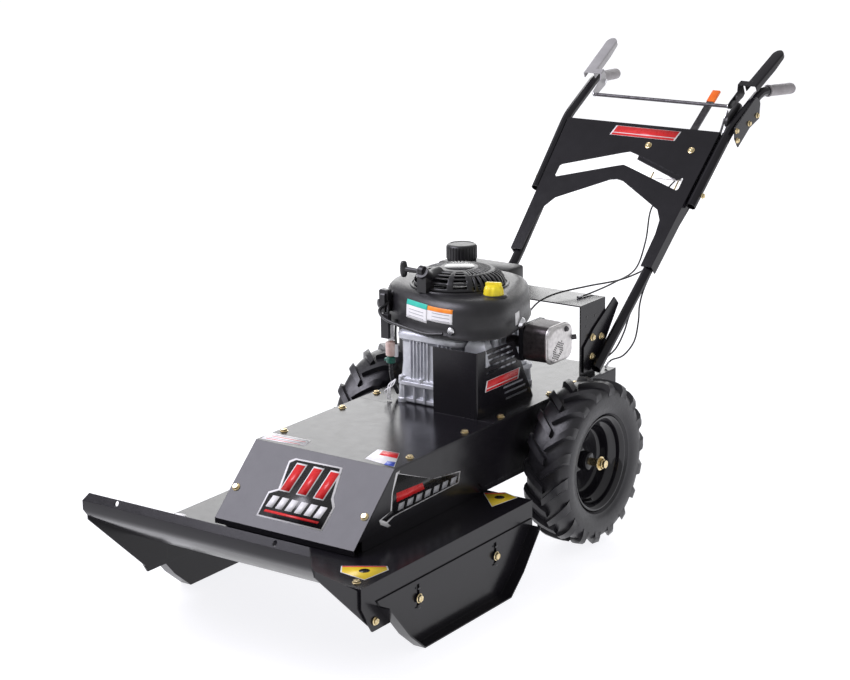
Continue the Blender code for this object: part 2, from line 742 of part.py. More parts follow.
def engine_body(finishes):
    silver = finishes["cast_aluminium"]
    crank = (ENGINE_X, ENGINE_Y)
    sump_low = FRAME_TOP + GAP
    sump = box("engine_sump", silver, (-0.105, -0.245, sump_low), (0.100, 0.070, SUMP_TOP))
    round_edges(sump, 0.006, 2)
    foot = box("filler_foot", None, (0.090, -0.158, 0.365), (0.131, -0.122, SUMP_TOP - 0.002))
    combine(sump, foot, "UNION")
    tube = [
        (0, SUMP_TOP - 0.006), (0.0125, SUMP_TOP - 0.006), (0.0125, SHROUD_TOP), (0.0100, SHROUD_TOP),
        (0.0100, 0.45), (0, 0.45),
    ]
    combine(sump, turned("filler_tube", None, "z", (0.115, -0.140), tube, 16), "UNION")
    drill(sump, "sump_bore", "z", crank, 0.0140, sump_low - 0.01, SUMP_TOP + 0.01, 16)
    block = box("engine_block", silver, (-0.105, -0.2415, SUMP_TOP + GAP), (0.090, 0.060, BLOCK_TOP))
    round_edges(block, 0.010, 2)
    drill(block, "block_bore", "z", crank, 0.0140, SUMP_TOP - 0.01, BLOCK_TOP + 0.01, 16)
    flywheel = [
        (0, 0.221),
        (CRANK_RADIUS, 0.221),
        (CRANK_RADIUS, BLOCK_TOP + 0.008),
        (0.112, BLOCK_TOP + 0.012),
        (0.118, BLOCK_TOP + 0.018),
        (0.118, BLOCK_TOP + 0.040),
        (0.100, BLOCK_TOP + 0.044),
        (0.030, BLOCK_TOP + 0.044),
        (0.026, BLOCK_TOP + 0.090),
        (0, BLOCK_TOP + 0.090),
    ]
    crankshaft = turned("crankshaft", finishes["bright_steel"], "z", crank, flywheel, 20, (*crank, 0))
    combine(crankshaft, engine_pulley(), "UNION")


def engine_fittings(finishes):
    """Caps, tank, muffler, air filter and the starter's pull handle."""
    cap_at = (0.115, -0.140)
    base = SHROUD_TOP + GAP
    cap = [(0, base), (0.025, base), (0.025, base + 0.022), (0.021, base + 0.030), (0, base + 0.030)]
    turned("oil_cap", finishes["yellow_plastic"], "z", cap_at, cap, 20, (*cap_at, base))

    outline = [
        (0.118, 0.470), (0.152, 0.470), (0.152, 0.5425), (0.205, 0.5425), (0.205, 0.612), (0.118, 0.612),
    ]
    tank = prism("fuel_tank", finishes["black_plastic"], "x", outline, -0.230, -0.020)
    round_edges(tank, 0.008, 2)
    hollow = [
        (0.122, 0.474), (0.148, 0.474), (0.148, 0.5465), (0.201, 0.5465), (0.201, 0.608), (0.122, 0.608),
    ]
    combine(tank, prism("tank_hollow", None, "x", hollow, -0.226, -0.024), "DIFFERENCE")
    filler = (-0.183, 0.1615)
    drill(tank, "tank_filler", "z", filler, 0.018, 0.600, 0.620, 16)
    cap = [(0, 0.6125), (0.040, 0.6125), (0.040, 0.649), (0.036, 0.655), (0, 0.655)]
    turned("fuel_cap", finishes["black_plastic"], "z", filler, cap, 24, (*filler, 0.6125))

    muffler = box("muffler", finishes["galvanised"], (0.160, -0.085, 0.4480), (0.238, 0.024, 0.5415))
    round_edges(muffler, 0.016, 3)
    combine(muffler, rod("exhaust_pipe", None, "x", (-0.036, 0.485), 0.014, 0.0905, 0.172, 16), "UNION")

    air_filter = box(
        "air_filter_housing", finishes["black_plastic"], (-0.215, -0.080, 0.415),
        (-0.1055, 0.040, 0.528),
    )
    round_edges(air_filter, 0.010, 2)

    bar_at = (-0.100, -0.2065)
    pull = rod(
        "recoil_handle", finishes["black_plastic"], "z", bar_at, 0.008, 0.652, 0.692, 14,
        (*bar_at, 0.675),
    )
    combine(pull, rod("recoil_stem", None, "x", (bar_at[1], 0.675), 0.005, bar_at[0], -0.0555, 12), "UNION")


def heat_shield(finishes):
    """A guard bent round the front left corner of the engine."""
    front, side, low = -0.2655, 0.150, FRAME_TOP + GAP
    face = [(0.024, front, low), (side, front, low), (side, front, 0.511), (0.024, front, 0.511)]
    wrap = [(side, front, low), (side, -0.0215, low), (side, -0.105, 0.505), (side, front, 0.511)]
    return sheet("heat_shield", finishes["black_paint"], [face, wrap], 0.002)


# Transmission and wheels

def transaxle(finishes):
    """Gear case between the wheels, hung from the side plates by a strap, with a tube over each axle."""
    case = box(
        "transaxle_housing", finishes["cast_aluminium"], (-0.085, -0.030, 0.155), (0.085, 0.140, 0.270),
    )
    round_edges(case, 0.012, 2)
    inner = FRAME_HALF_WIDTH - SHEET - GAP
    strap = box("transaxle_strap", None, (-inner, 0.035, 0.236), (inner, 0.095, 0.246))
    combine(case, strap, "UNION")
    centre = (AXLE_Y, TYRE_RADIUS)
    combine(case, rod("axle_tube", None, "x", centre, 0.0190, -0.150, 0.150, 20), "UNION")
    return drill(case, "axle_bore", "x", centre, 0.0102, -0.16, 0.16, 20)


def wheel(finishes, side):
    """Tyre, rim and axle, which turn together."""
    centre = (AXLE_Y, TYRE_RADIUS)
    pivot = (side * TYRE_MIDDLE, *centre)

    def out(profile):
        return [(radius, side * (TYRE_MIDDLE + offset)) for radius, offset in profile]

    lip = RIM_LIP_RADIUS
    half_tyre = [
        (0.1072, 0.034), (lip + 0.003, 0.040), (0.132, 0.053), (0.156, 0.058), (0.181, 0.056),
        (0.195, 0.049), (0.203, 0.036),
    ]
    half_inside = [
        (0.194, 0.030), (0.186, 0.042), (0.156, 0.050), (0.133, 0.045), (lip + 0.003, 0.030),
        (0.1072, 0.025),
    ]
    mirrored = [(radius, -offset) for radius, offset in reversed(half_tyre)]
    inside = [(radius, -offset) for radius, offset in reversed(half_inside)] + half_inside
    profile = half_tyre + mirrored + inside
    turned(side_name("tyre", side), finishes["tyre_rubber"], "x", centre, out(profile), 28, pivot)

    seat = 0.1065
    rim_outside = [(lip, 0.0435), (seat, 0.0370), (seat, 0.024), (0.090, 0.014)]
    rim_inside = [(lip, 0.046), (0.1145, 0.046), (0.104, 0.0395), (0.104, 0.0225), (0.0875, 0.0150)]
    profile = [
        (radius, -offset) for radius, offset in rim_inside
    ] + [(0.0875, 0.011), (0.022, 0.011), (0.022, -0.058)]
    profile += [(0.0100, -0.058), (0.0100, 0.022), (0.022, 0.022), (0.032, 0.015), (0.0875, 0.015)]
    profile += rim_inside[-2::-1] + rim_outside + [
        (radius, -offset) for radius, offset in reversed(rim_outside)
    ]
    turned(side_name("rim", side), finishes["black_paint"], "x", centre, out(profile), 24, pivot)

    low, high = sorted((side * 0.004, side * AXLE_END))
    rod(side_name("axle", side), finishes["zinc"], "x", centre, AXLE_RADIUS, low, high, 16, pivot)


# Handle

def on_panel(x, down, depth=0.0):
    """A point on the handle panel: across, down its slope, and behind its front face."""
    y = PANEL_TOP_Y - down * cos(PANEL_SLOPE) + depth * sin(PANEL_SLOPE)
    z = PANEL_TOP_Z - down * sin(PANEL_SLOPE) - depth * cos(PANEL_SLOPE)
    return (x, y, z)


def panel_prism(name, material, outline, low, high):
    """An outline in the panel's own plane, extruded through a range of depths."""
    piece = prism(name, material, "z", outline, low, high)
    across, down, depth = Vector((1, 0, 0)), Vector(on_panel(0, 1)), Vector(on_panel(0, 0, 1))
    start = Vector(on_panel(0, 0))
    columns = [across, down - start, depth - start]
    turn = Matrix([[column[row] for column in columns] for row in range(3)]).to_4x4()
    piece.data.transform(Matrix.Translation(start) @ turn)
    return piece


def handle_panel(finishes):
    """A tapered plate across the handle tubes with an arched foot, a slot and flanges turned back."""
    top, bottom, length = PANEL_TOP_HALF, PANEL_BOTTOM_HALF, PANEL_LENGTH
    arch = [(0.184, length), (0.184, 0.345), (0.178, 0.300), (0.158, 0.268), (0.020, 0.190), (0, 0.186)]
    arch = arch + [(-x, down) for x, down in reversed(arch[:-1])]
    outline = [(-top, 0), (top, 0), (bottom, length)] + arch + [(-bottom, length)]
    face = [on_panel(*point) for point in outline[::-1]]
    deep = 0.030
    flange = [
        on_panel(top, 0), on_panel(bottom, length), on_panel(bottom, length, deep),
        on_panel(top, 0, deep),
    ]
    faces = [face, flange, [(-x, y, z) for x, y, z in reversed(flange)]]
    piece = sheet("handle_panel", finishes["black_paint"], faces, SHEET)
    slot = [
        (-0.186, 0.157), (-0.020, 0.098), (0, 0.092), (0.020, 0.098), (0.186, 0.157), (0.191, 0.163),
        (0.191, 0.196),
    ]
    slot += [
        (0.186, 0.201), (0.020, 0.144), (0, 0.138), (-0.020, 0.144), (-0.186, 0.201), (-0.191, 0.196),
        (-0.191, 0.163),
    ]
    return combine(piece, panel_prism("panel_slot", None, slot, -0.02, 0.02), "DIFFERENCE")


def pipe(name, finishes, side, corners, reach):
    path = rounded_path([(side * x, y, z) for x, y, z in corners], reach, 2)
    return swept(name, finishes["black_paint"], path, HANDLE_TUBE_RADIUS, HANDLE_TUBE_RADIUS - 0.002, 10)


def handle_tube(finishes, side):
    """The lower tube, from its bracket up inside the panel's flange."""
    corners = [(0.1967, 0.200, 0.369), (0.1967, 0.436, 0.5550), (0.2097, 0.642, 0.7497)]
    return pipe(side_name("handle_tube", side), finishes, side, corners, 0.035)


def upper_tube(finishes, side):
    """The upper tube, from outside the panel's flange to the grip."""
    corners = [
        (0.2395, 0.6060, 0.7196), (0.2515, 0.790, 0.8925), (0.2594, 0.955, 0.9782),
        (0.2795, 1.104, 0.9702),
    ]
    return pipe(side_name("upper_tube", side), finishes, side, corners, 0.022)


def grip(finishes, side):
    start, end = (side * 0.2636, 0.9860, 0.97655), (side * 0.2798, 1.1060, 0.97009)
    length = (Vector(end) - Vector(start)).length
    bore = HANDLE_TUBE_RADIUS + GAP
    profile = [(bore, 0), (GRIP_RADIUS, 0), (GRIP_RADIUS, length - 0.003), (GRIP_RADIUS - 0.003, length)]
    profile += [(0, length), (0, length - 0.0012), (bore, length - 0.0012)]
    name = side_name("grip", side)
    return aimed(turned(name, finishes["grip_rubber"], "z", (0, 0), profile, 20), start, end)


def lever_frame(side):
    """Places a lever drawn flat: across, along the lever, and up from it."""
    start = Vector((side * 0.253, 0.904, 1.000))
    along = Vector((side * 0.010, 0.146, 0.075)).normalized()
    across = along.cross(Vector((0, 0, 1))).normalized() * side
    up = along.cross(across).normalized() * -side
    return start, across, along, up


def operator_lever(finishes, side):
    """A channel over the grip, with an ear inside the handle tube at the pivot and the cross rod."""
    start, across, along, up = lever_frame(side)
    half, length, wall, wide, web = 0.016, 0.176, 0.013, 0.0395, 0.020
    top = [
        (-wide, 0, 0), (half, 0, 0), (half, length - 0.010, 0), (half - 0.006, length, 0),
        (0.006 - half, length, 0),
    ]
    top += [(-half, length - 0.010, 0), (-half, web, 0), (-wide, web, 0)]
    outer = [(half, 0, 0), (half, 0, -wall), (half, length - 0.014, -wall), (half, length - 0.010, 0)]
    inner = [(-half, web, 0), (-half, length - 0.010, 0), (-half, length - 0.014, -wall), (-half, web, -wall)]
    ear = [
        (0, 0), (web, 0), (web, -0.020), (0.018, -0.041), (0.006, -0.045), (-0.056, -0.040),
        (-0.067, -0.034),
    ]
    ear += [(-0.067, -0.024), (-0.058, -0.019), (-0.010, -0.016)]
    ear = [(-wide, y, z) for y, z in ear]
    pivot = (0, *LEVER_PIVOT)
    faces = []
    for face in (top, outer, inner, ear):
        corners = [start + across * x + along * y + up * z for x, y, z in face]
        faces.append([(side * x, y, z) for x, y, z in corners])
    piece = sheet(side_name("operator_lever", side), finishes["black_paint"], faces, SHEET, side, pivot)
    return drill(piece, side_name("rod_hole", side), "x", CROSS_ROD, 0.0053, 0.19 * side, 0.23 * side, 14)


def control_plate(finishes):
    """A plate held off the outside of the left upper tube by a spacer."""
    outline = [
        (0.7753, 0.906),
        (0.7753, 0.876),
        (0.7953, 0.851),
        (0.8603, 0.894),
        (0.9153, 0.912),
        (0.9203, 0.952),
        (0.9158, 0.962),
        (0.8998, 0.971),
        (0.8868, 0.968),
    ]
    low = 0.2735
    plate = prism("control_plate", finishes["black_paint"], "x", outline, low, low + SHEET)
    return combine(
        plate, rod("plate_spacer", None, "x", UPPER_TUBE_MIDDLE, 0.006, 0.2686, low + 0.001, 12),
        "UNION",
    )


def throttle(finishes):
    """A housing inside the left upper tube, and the lever on its inner face."""
    centre = Vector(UPPER_TUBE_MIDDLE)
    along = Vector((0.887, 0.461))
    half_length, radius, steps = 0.026, 0.021, 8
    outline = []
    for end, way in ((centre + along * half_length, along), (centre - along * half_length, -along)):
        start = atan2(way.y, way.x) - pi / 2
        for step in range(steps + 1):
            angle = start + pi * step / steps
            outline.append((end.x + radius * cos(angle), end.y + radius * sin(angle)))
    low, high = 0.2265, 0.2385
    prism("throttle_quadrant", finishes["black_plastic"], "x", outline, low, high)
    outer = low - GAP
    outline = [
        (0.840, 0.9300), (0.842, 0.9170), (0.856, 0.9170), (0.860, 0.9240), (0.897, 0.9610),
        (0.889, 0.9690),
    ]
    lever = prism(
        "throttle_lever", finishes["bright_steel"], "x", outline, outer - 0.0025, outer,
        (outer, *centre),
    )
    knob = box("throttle_knob", None, (outer - 0.0065, 0.886, 0.958), (outer, 0.900, 0.973))
    return combine(lever, knob, "UNION")


def shifter(finishes):
    """A bracket behind the panel, and the gear lever: a tab on the pivot, a flat strip and its sleeve."""
    x = 0.124
    behind = SHEET + GAP
    plate = [(0.030, 0.052), (0.192, 0.052), (0.192, 0.150), (0.172, 0.166), (0.030, 0.113)]
    gate = panel_prism("shift_bracket", finishes["galvanised"], plate, behind, behind + 0.003)
    cheek = [
        on_panel(0, 0.054, behind + 0.001)[1:], on_panel(0, 0.080, behind + 0.001)[1:], (0.718, 0.772),
        (0.740, 0.772), (0.752, 0.790),
    ]
    combine(gate, prism("shift_cheek", None, "x", cheek, x - 0.004, x), "UNION")
    pivot = (x, 0.735, 0.785)
    middle, root, length, half_width, half_thick = 0.126, (0.7585, 0.8339), 0.2375, 0.0105, 0.0025
    along = Vector((0, 0.8246, 0.5657))
    turn = Matrix([[1, 0, 0], [0, along.z, along.y], [0, -along.y, along.z]]).to_4x4()
    at_root = Matrix.Translation(Vector((middle, *root))) @ turn
    tab = [(0.722, 0.792), (0.738, 0.773), (0.755, 0.787), (0.790, 0.8545), (0.762, 0.8355)]
    lever = prism("shift_lever", finishes["bright_steel"], "x", tab, x + GAP, x + 0.0053, pivot)
    strip = box("lever_strip", None, (-half_width, -half_thick, 0), (half_width, half_thick, length))
    strip.data.transform(at_root)
    combine(lever, strip, "UNION")
    wall, sleeve_length = 0.0012, 0.044
    reach = (half_width + wall, half_thick + wall)
    low, high = (-reach[0], -reach[1], length - sleeve_length), (*reach, length + wall)
    sleeve = box("shift_sleeve", finishes["orange_vinyl"], low, high)
    sleeve.data.transform(Matrix.Translation(-Vector(pivot)) @ at_root)
    sleeve.location = pivot
    round_edges(sleeve, 0.0010, 2)
    low, high = (-half_width - GAP, -half_thick - GAP, 0), (half_width + GAP, half_thick + GAP, length + GAP)
    hollow = box("sleeve_bore", None, low, high)
    hollow.data.transform(at_root)
    return combine(sleeve, hollow, "DIFFERENCE")


def control_cables(finishes):
    """Sheathed cables from the controls down the left handle tube to what they work."""
    routes = {
        "throttle_cable": [
            (0.2325, 0.8070, 0.9000),
            (0.2290, 0.7930, 0.8780),
            (0.2240, 0.7750, 0.8450),
            (0.2200, 0.7150, 0.7700),
            (0.2120, 0.6400, 0.7000),
            (0.190, 0.545, 0.603),
            (0.178, 0.500, 0.572),
            (0.155, 0.400, 0.556),
            (0.120, 0.290, 0.556),
            (0.085, 0.200, 0.552),
            (0.066, 0.140, 0.540),
            (0.054, 0.100, 0.513),
            (0.050, 0.0625, 0.505),
        ],
        "blade_cable": [
            (0.2180, 0.8420, 0.9380),
            (0.2180, 0.8270, 0.9170),
            (0.2180, 0.8080, 0.8850),
            (0.2160, 0.7850, 0.8500),
            (0.2128, 0.715, 0.7885),
            (0.2030, 0.566, 0.6475),
            (0.1975, 0.455, 0.5450),
            (0.201, 0.412, 0.495),
            (0.203, 0.402, 0.450),
            (0.201, 0.385, 0.400),
            (0.192, 0.345, 0.370),
            (0.182, 0.300, 0.3665),
            (0.179, 0.278, 0.3525),
        ],
        "drive_cable": [
            (0.2045, 0.8600, 0.9300),
            (0.2045, 0.8486, 0.9100),
            (0.2045, 0.8250, 0.8766),
            (0.2020, 0.7850, 0.8450),
            (0.2000, 0.715, 0.7800),
            (0.1930, 0.566, 0.6380),
            (0.1890, 0.430, 0.5200),
            (0.1890, 0.380, 0.4700),
            (0.188, 0.355, 0.430),
            (0.184, 0.318, 0.392),
            (0.171, 0.275, 0.3690),
            (0.167, 0.260, 0.3530),
        ],
        "shift_cable": [
            (0.1320, 0.728, 0.764),
            (0.128, 0.660, 0.735),
            (0.124, 0.600, 0.700),
            (0.126, 0.570, 0.620),
            (0.136, 0.500, 0.560),
            (0.140, 0.380, 0.5480),
            (0.135, 0.270, 0.5425),
            (0.130, 0.220, 0.5420),
        ],
    }
    for name, route in routes.items():
        curve = bpy.data.curves.new(name, "CURVE")
        curve.dimensions = "3D"
        curve.bevel_depth = CABLE_DIAMETER / 2
        curve.bevel_resolution = 2
        curve.use_fill_caps = True
        line = curve.splines.new("POLY")
        points = curve_through(route, 0.045)
        line.points.add(len(points) - 1)
        for spot, point in zip(line.points, points):
            spot.co = (*point, 1)
        piece = bpy.data.objects.new(name, curve)
        piece.data.materials.append(finishes["cable_jacket"])
        bpy.context.scene.collection.objects.link(piece)


def build():
    for old in list(bpy.data.objects):
        bpy.data.objects.remove(old)
    finishes = make_finishes()
    deck_shell(finishes)
    front_guard(finishes)
    blade_spindle(finishes)
    belt_drives(finishes)
    chassis(finishes)
    belt_cover(finishes)
    engine_deck(finishes)
    bridge_bracket(finishes)
    engine_body(finishes)
    blower_housing(finishes)
    starter_housing(finishes)
    engine_fittings(finishes)
    heat_shield(finishes)
    transaxle(finishes)
    handle_panel(finishes)
    control_plate(finishes)
    throttle(finishes)
    shifter(finishes)
    control_cables(finishes)
    rod("cross_rod", finishes["bright_steel"], "x", CROSS_ROD, 0.005, -0.2130, 0.2130, 12, (0, *LEVER_PIVOT))
    for side in (1, -1):
        skid_shoe(finishes, side)
        handle_bracket(finishes, side)
        wheel(finishes, side)
        handle_tube(finishes, side)
        upper_tube(finishes, side)
        grip(finishes, side)
        operator_lever(finishes, side)


build()
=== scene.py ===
"""The brush mower's looks: finishes, fasteners, tyres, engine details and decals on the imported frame.

Metres, Z up, the machine moves towards -Y and its left side is +X.
"""

from math import cos, hypot, pi, radians, sin, sqrt, tau

import bmesh
import bpy
from mathutils import Matrix, Vector
from mathutils.bvhtree import BVHTree

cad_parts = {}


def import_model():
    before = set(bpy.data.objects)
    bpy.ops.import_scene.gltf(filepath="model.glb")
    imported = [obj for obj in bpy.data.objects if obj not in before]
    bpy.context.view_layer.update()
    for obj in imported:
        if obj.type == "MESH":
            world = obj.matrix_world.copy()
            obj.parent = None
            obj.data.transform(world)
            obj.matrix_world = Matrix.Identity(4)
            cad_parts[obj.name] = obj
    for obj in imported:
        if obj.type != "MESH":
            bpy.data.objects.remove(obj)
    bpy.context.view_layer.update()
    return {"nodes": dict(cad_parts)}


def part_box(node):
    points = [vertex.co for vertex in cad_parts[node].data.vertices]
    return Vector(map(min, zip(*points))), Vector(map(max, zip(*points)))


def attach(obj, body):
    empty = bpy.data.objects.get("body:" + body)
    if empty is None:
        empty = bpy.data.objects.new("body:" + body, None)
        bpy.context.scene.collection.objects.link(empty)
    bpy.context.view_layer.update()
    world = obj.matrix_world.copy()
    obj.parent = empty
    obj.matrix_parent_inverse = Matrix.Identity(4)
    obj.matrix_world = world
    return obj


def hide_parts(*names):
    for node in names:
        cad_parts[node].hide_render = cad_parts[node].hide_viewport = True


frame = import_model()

SIDES = (("left", 1), ("right", -1))

CRANK = Vector((-0.02, -0.0865))
SHROUD_BOTTOM, SHROUD_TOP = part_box("blower_housing")[0].z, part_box("blower_housing")[1].z
DECK_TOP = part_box("deck_shell")[1].z
COVER_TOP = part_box("belt_cover")[1].z
COVER_EDGE_Y = -0.66
COVER_SLOPE = radians(43.23)
PANEL_TOP = Vector((0, 0.768, 0.8924))
PANEL_SLOPE = radians(43.2)
WHEEL_Y, WHEEL_Z = -0.0065, 0.203
TYRE_MIDDLE = 0.29
LUGS = 18
DOME_RADIUS = 0.112
SKID_BOLT_X, SKID_BOLT_Z = 0.3262, 0.1055
SKID_BOLTS_Y = (-0.7535, -0.452)
SKID_SLOT_ENDS = (0.083, 0.128)
UP = (0, 0, 1)


# Finishes


def node_material(name, metallic=0.0, **settings):
    """A named material with these settings, and its nodes, links and shader."""
    material = bpy.data.materials.new(name)
    material.use_nodes = True
    shader = material.node_tree.nodes["Principled BSDF"]
    shader.inputs["Metallic"].default_value = metallic
    for socket, value in settings.items():
        shader.inputs[socket.replace("_", " ")].default_value = value
    return material, material.node_tree.nodes, material.node_tree.links, shader


def noise(nodes, links, size, detail=3.0):
    """Soft patches of about this size, fixed to the piece."""
    where = nodes.new("ShaderNodeTexCoord")
    texture = nodes.new("ShaderNodeTexNoise")
    texture.inputs["Scale"].default_value = 1 / size
    texture.inputs["Detail"].default_value = detail
    links.new(where.outputs["Object"], texture.inputs["Vector"])
    return texture.outputs["Fac"]


def ranged(nodes, links, source, low, high, start=0.3, end=0.7):
    """Spreads a value that runs from start to end over low to high."""
    spread = nodes.new("ShaderNodeMapRange")
    spread.inputs["From Min"].default_value = start
    spread.inputs["From Max"].default_value = end
    spread.inputs["To Min"].default_value = low
    spread.inputs["To Max"].default_value = high
    links.new(source, spread.inputs["Value"])
    return spread.outputs["Result"]


def mixed(nodes, links, share, first, second):
    """A colour between two; each is a colour or a socket."""
    mix = nodes.new("ShaderNodeMix")
    mix.data_type = "RGBA"
    links.new(share, mix.inputs["Factor"])
    for socket, value in ((mix.inputs[6], first), (mix.inputs[7], second)):
        if isinstance(value, bpy.types.NodeSocket):
            links.new(value, socket)
        else:
            socket.default_value = (*value, 1)
    return mix.outputs[2]


def grained(
    name, dark, light, patch, rough, metallic=0.0, bump=0.0, bump_size=0.002, soft_edge=0.0, **settings,
):
    """A finish that drifts between two shades and roughnesses, with a fine bump and eased edges."""
    material, nodes, links, shader = node_material(name, metallic, **settings)
    drift = ranged(nodes, links, noise(nodes, links, patch), 0.0, 1.0)
    links.new(mixed(nodes, links, drift, dark, light), shader.inputs["Base Color"])
    mottle = noise(nodes, links, patch / 5)
    links.new(ranged(nodes, links, mottle, *rough), shader.inputs["Roughness"])
    eased = None
    if soft_edge:
        rounding = nodes.new("ShaderNodeBevel")
        rounding.samples = 4
        rounding.inputs["Radius"].default_value = soft_edge
        eased = rounding.outputs["Normal"]
    if bump:
        relief = nodes.new("ShaderNodeBump")
        relief.inputs["Strength"].default_value = 1.0
        relief.inputs["Distance"].default_value = bump
        links.new(noise(nodes, links, bump_size, 2.0), relief.inputs["Height"])
        if eased:
            links.new(eased, relief.inputs["Normal"])
        eased = relief.outputs["Normal"]
    if eased:
        links.new(eased, shader.inputs["Normal"])
    return material


def make_finishes():
    """The finishes by name: two shades, the size of their patches, a range of roughness, and any relief."""
    paint = ((0.0075, 0.0068, 0.009), (0.0105, 0.0095, 0.0125), 0.12)
    finishes = {
        "black_paint": grained(
            "satin_black_powder_coat", *paint, (0.2, 0.25),
            bump=0.00003, bump_size=0.0035, soft_edge=0.0012, Specular_IOR_Level=0.32,
        ),
        "rim_paint": grained("gloss_black_enamel", *paint, (0.05, 0.09), bump=0.00002, bump_size=0.006),
        # Painted highlight: a pale grey coat that stands in for the light striking the far operator lever,
        # whose own finish is black paint.
        "satin_grey": grained(
            "painted_highlight_grey_coat", (0.4, 0.39, 0.4), (0.48, 0.47, 0.48), 0.05, (0.3, 0.36),
            metallic=0.3, soft_edge=0.001,
        ),
        "cast_aluminium": grained(
            "sand_cast_aluminium", (0.52, 0.53, 0.57), (0.66, 0.67, 0.71), 0.02, (0.42, 0.58),
            metallic=0.75, bump=0.00025, bump_size=0.0018, soft_edge=0.002,
        ),
        "galvanised": grained(
            "galvanised_sheet", (0.56, 0.54, 0.54), (0.74, 0.72, 0.71), 0.01, (0.26, 0.5),
            metallic=0.85, bump=0.00008, soft_edge=0.0015,
        ),
        "bright_steel": grained(
            "ground_steel", (0.3, 0.29, 0.29), (0.46, 0.45, 0.45), 0.012, (0.25, 0.45),
            metallic=1.0, bump=0.00005,
        ),
        "dark_steel": grained(
            "oiled_dark_steel", (0.055, 0.052, 0.056), (0.11, 0.105, 0.11), 0.012, (0.3, 0.5),
            metallic=0.8, bump=0.00005,
        ),
        "heat_dark_steel": grained(
            "heat_darkened_steel", (0.045, 0.038, 0.04), (0.09, 0.078, 0.082), 0.008, (0.28, 0.45),
            metallic=0.7, bump=0.00006,
        ),
        "zinc": grained(
            "yellow_zinc_plate", (0.62, 0.47, 0.22), (0.86, 0.74, 0.48), 0.006, (0.16, 0.34),
            metallic=1.0, bump=0.00004,
        ),
        "clear_zinc": grained(
            "clear_zinc_plate", (0.66, 0.66, 0.68), (0.82, 0.82, 0.84), 0.006, (0.16, 0.34), metallic=1.0
        ),
        "black_plastic": grained(
            "moulded_black_nylon", (0.0095, 0.009, 0.0105), (0.0165, 0.0155, 0.018), 0.03, (0.32, 0.42),
            bump=0.0001, bump_size=0.0012, soft_edge=0.001,
        ),
        "gloss_plastic": grained(
            "polished_black_plastic", (0.016, 0.015, 0.017), (0.026, 0.025, 0.028), 0.03, (0.08, 0.14)
        ),
        "yellow_plastic": grained(
            "yellow_nylon", (0.78, 0.6, 0.01), (0.92, 0.76, 0.03), 0.02, (0.28, 0.42),
            bump=0.0001, soft_edge=0.001,
        ),
        "orange_vinyl": grained(
            "dipped_orange_vinyl", (0.9, 0.13, 0.004), (0.98, 0.2, 0.012), 0.02, (0.3, 0.45), bump=0.0001
        ),
        "tyre_rubber": grained(
            "tyre_rubber", (0.01, 0.0095, 0.012), (0.018, 0.017, 0.021), 0.035, (0.3, 0.42),
            bump=0.0003, bump_size=0.003,
        ),
        "grip_rubber": grained(
            "grey_moulded_rubber", (0.27, 0.25, 0.26), (0.36, 0.34, 0.35), 0.02, (0.45, 0.62),
            bump=0.00012, bump_size=0.001,
        ),
        "belt_rubber": grained(
            "belt_cloth", (0.016, 0.015, 0.015), (0.035, 0.032, 0.03), 0.004, (0.7, 0.9), bump=0.0002
        ),
        "cable_jacket": grained(
            "black_cable_jacket", (0.01, 0.01, 0.011), (0.02, 0.019, 0.021), 0.02, (0.25, 0.4), bump=0.00005
        ),
        "filter_shell": grained(
            "clear_filter_shell", (0.72, 0.5, 0.45), (0.86, 0.68, 0.62), 0.01, (0.1, 0.2),
            Transmission_Weight=0.25,
        ),
        "green_clamp": grained("green_clip", (0.004, 0.07, 0.05), (0.01, 0.13, 0.09), 0.01, (0.3, 0.45)),
    }
    prints = (
        ("white", (0.8, 0.79, 0.8), (0.88, 0.87, 0.88), (0.3, 0.42)),
        ("red", (0.62, 0.01, 0.014), (0.76, 0.022, 0.025), (0.25, 0.36)),
        # The black print also serves as painted shade in the skid slots, the bridge's holes and the muffler's
        # outlet holes.
        ("black", (0.008, 0.008, 0.009), (0.014, 0.013, 0.015), (0.22, 0.34)),
        ("yellow", (0.8, 0.56, 0.02), (0.9, 0.66, 0.04), (0.3, 0.42)),
        ("teal", (0.02, 0.46, 0.36), (0.04, 0.56, 0.44), (0.3, 0.42)),
        ("amber", (0.86, 0.22, 0.01), (0.93, 0.3, 0.02), (0.3, 0.42)),
        ("blue", (0.03, 0.06, 0.42), (0.05, 0.1, 0.52), (0.3, 0.42)),
        ("grey", (0.34, 0.34, 0.36), (0.42, 0.42, 0.44), (0.3, 0.42)),
    )
    for colour, dark, light, rough in prints:
        finishes[colour + "_vinyl"] = grained(colour + "_print", dark, light, 0.02, rough)
    return finishes


FINISH = make_finishes()


def smoother():
    """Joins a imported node's faces and shades them smooth, except across edges sharper than 32 degrees."""
    group = bpy.data.node_groups.new("smooth_faces", "GeometryNodeTree")
    group.interface.new_socket("Geometry", in_out="INPUT", socket_type="NodeSocketGeometry")
    group.interface.new_socket("Geometry", in_out="OUTPUT", socket_type="NodeSocketGeometry")
    nodes, links = group.nodes, group.links
    start, end = nodes.new("NodeGroupInput"), nodes.new("NodeGroupOutput")
    forget = nodes.new("GeometryNodeRemoveAttribute")
    forget.inputs["Name"].default_value = "custom_normal"
    merge = nodes.new("GeometryNodeMergeByDistance")
    merge.inputs["Distance"].default_value = 0.00001
    faces = nodes.new("GeometryNodeSetShadeSmooth")
    faces.domain = "FACE"
    faces.inputs["Shade Smooth"].default_value = True
    edges = nodes.new("GeometryNodeSetShadeSmooth")
    edges.domain = "EDGE"
    edges.inputs["Shade Smooth"].default_value = False
    angle = nodes.new("GeometryNodeInputMeshEdgeAngle")
    sharp = nodes.new("ShaderNodeMath")
    sharp.operation = "GREATER_THAN"
    sharp.inputs[1].default_value = radians(32)
    links.new(angle.outputs["Unsigned Angle"], sharp.inputs[0])
    links.new(sharp.outputs[0], edges.inputs["Selection"])
    chain = (start, forget, merge, faces, edges, end)
    for before, after in zip(chain, chain[1:]):
        links.new(before.outputs[0], after.inputs[0])
    return group


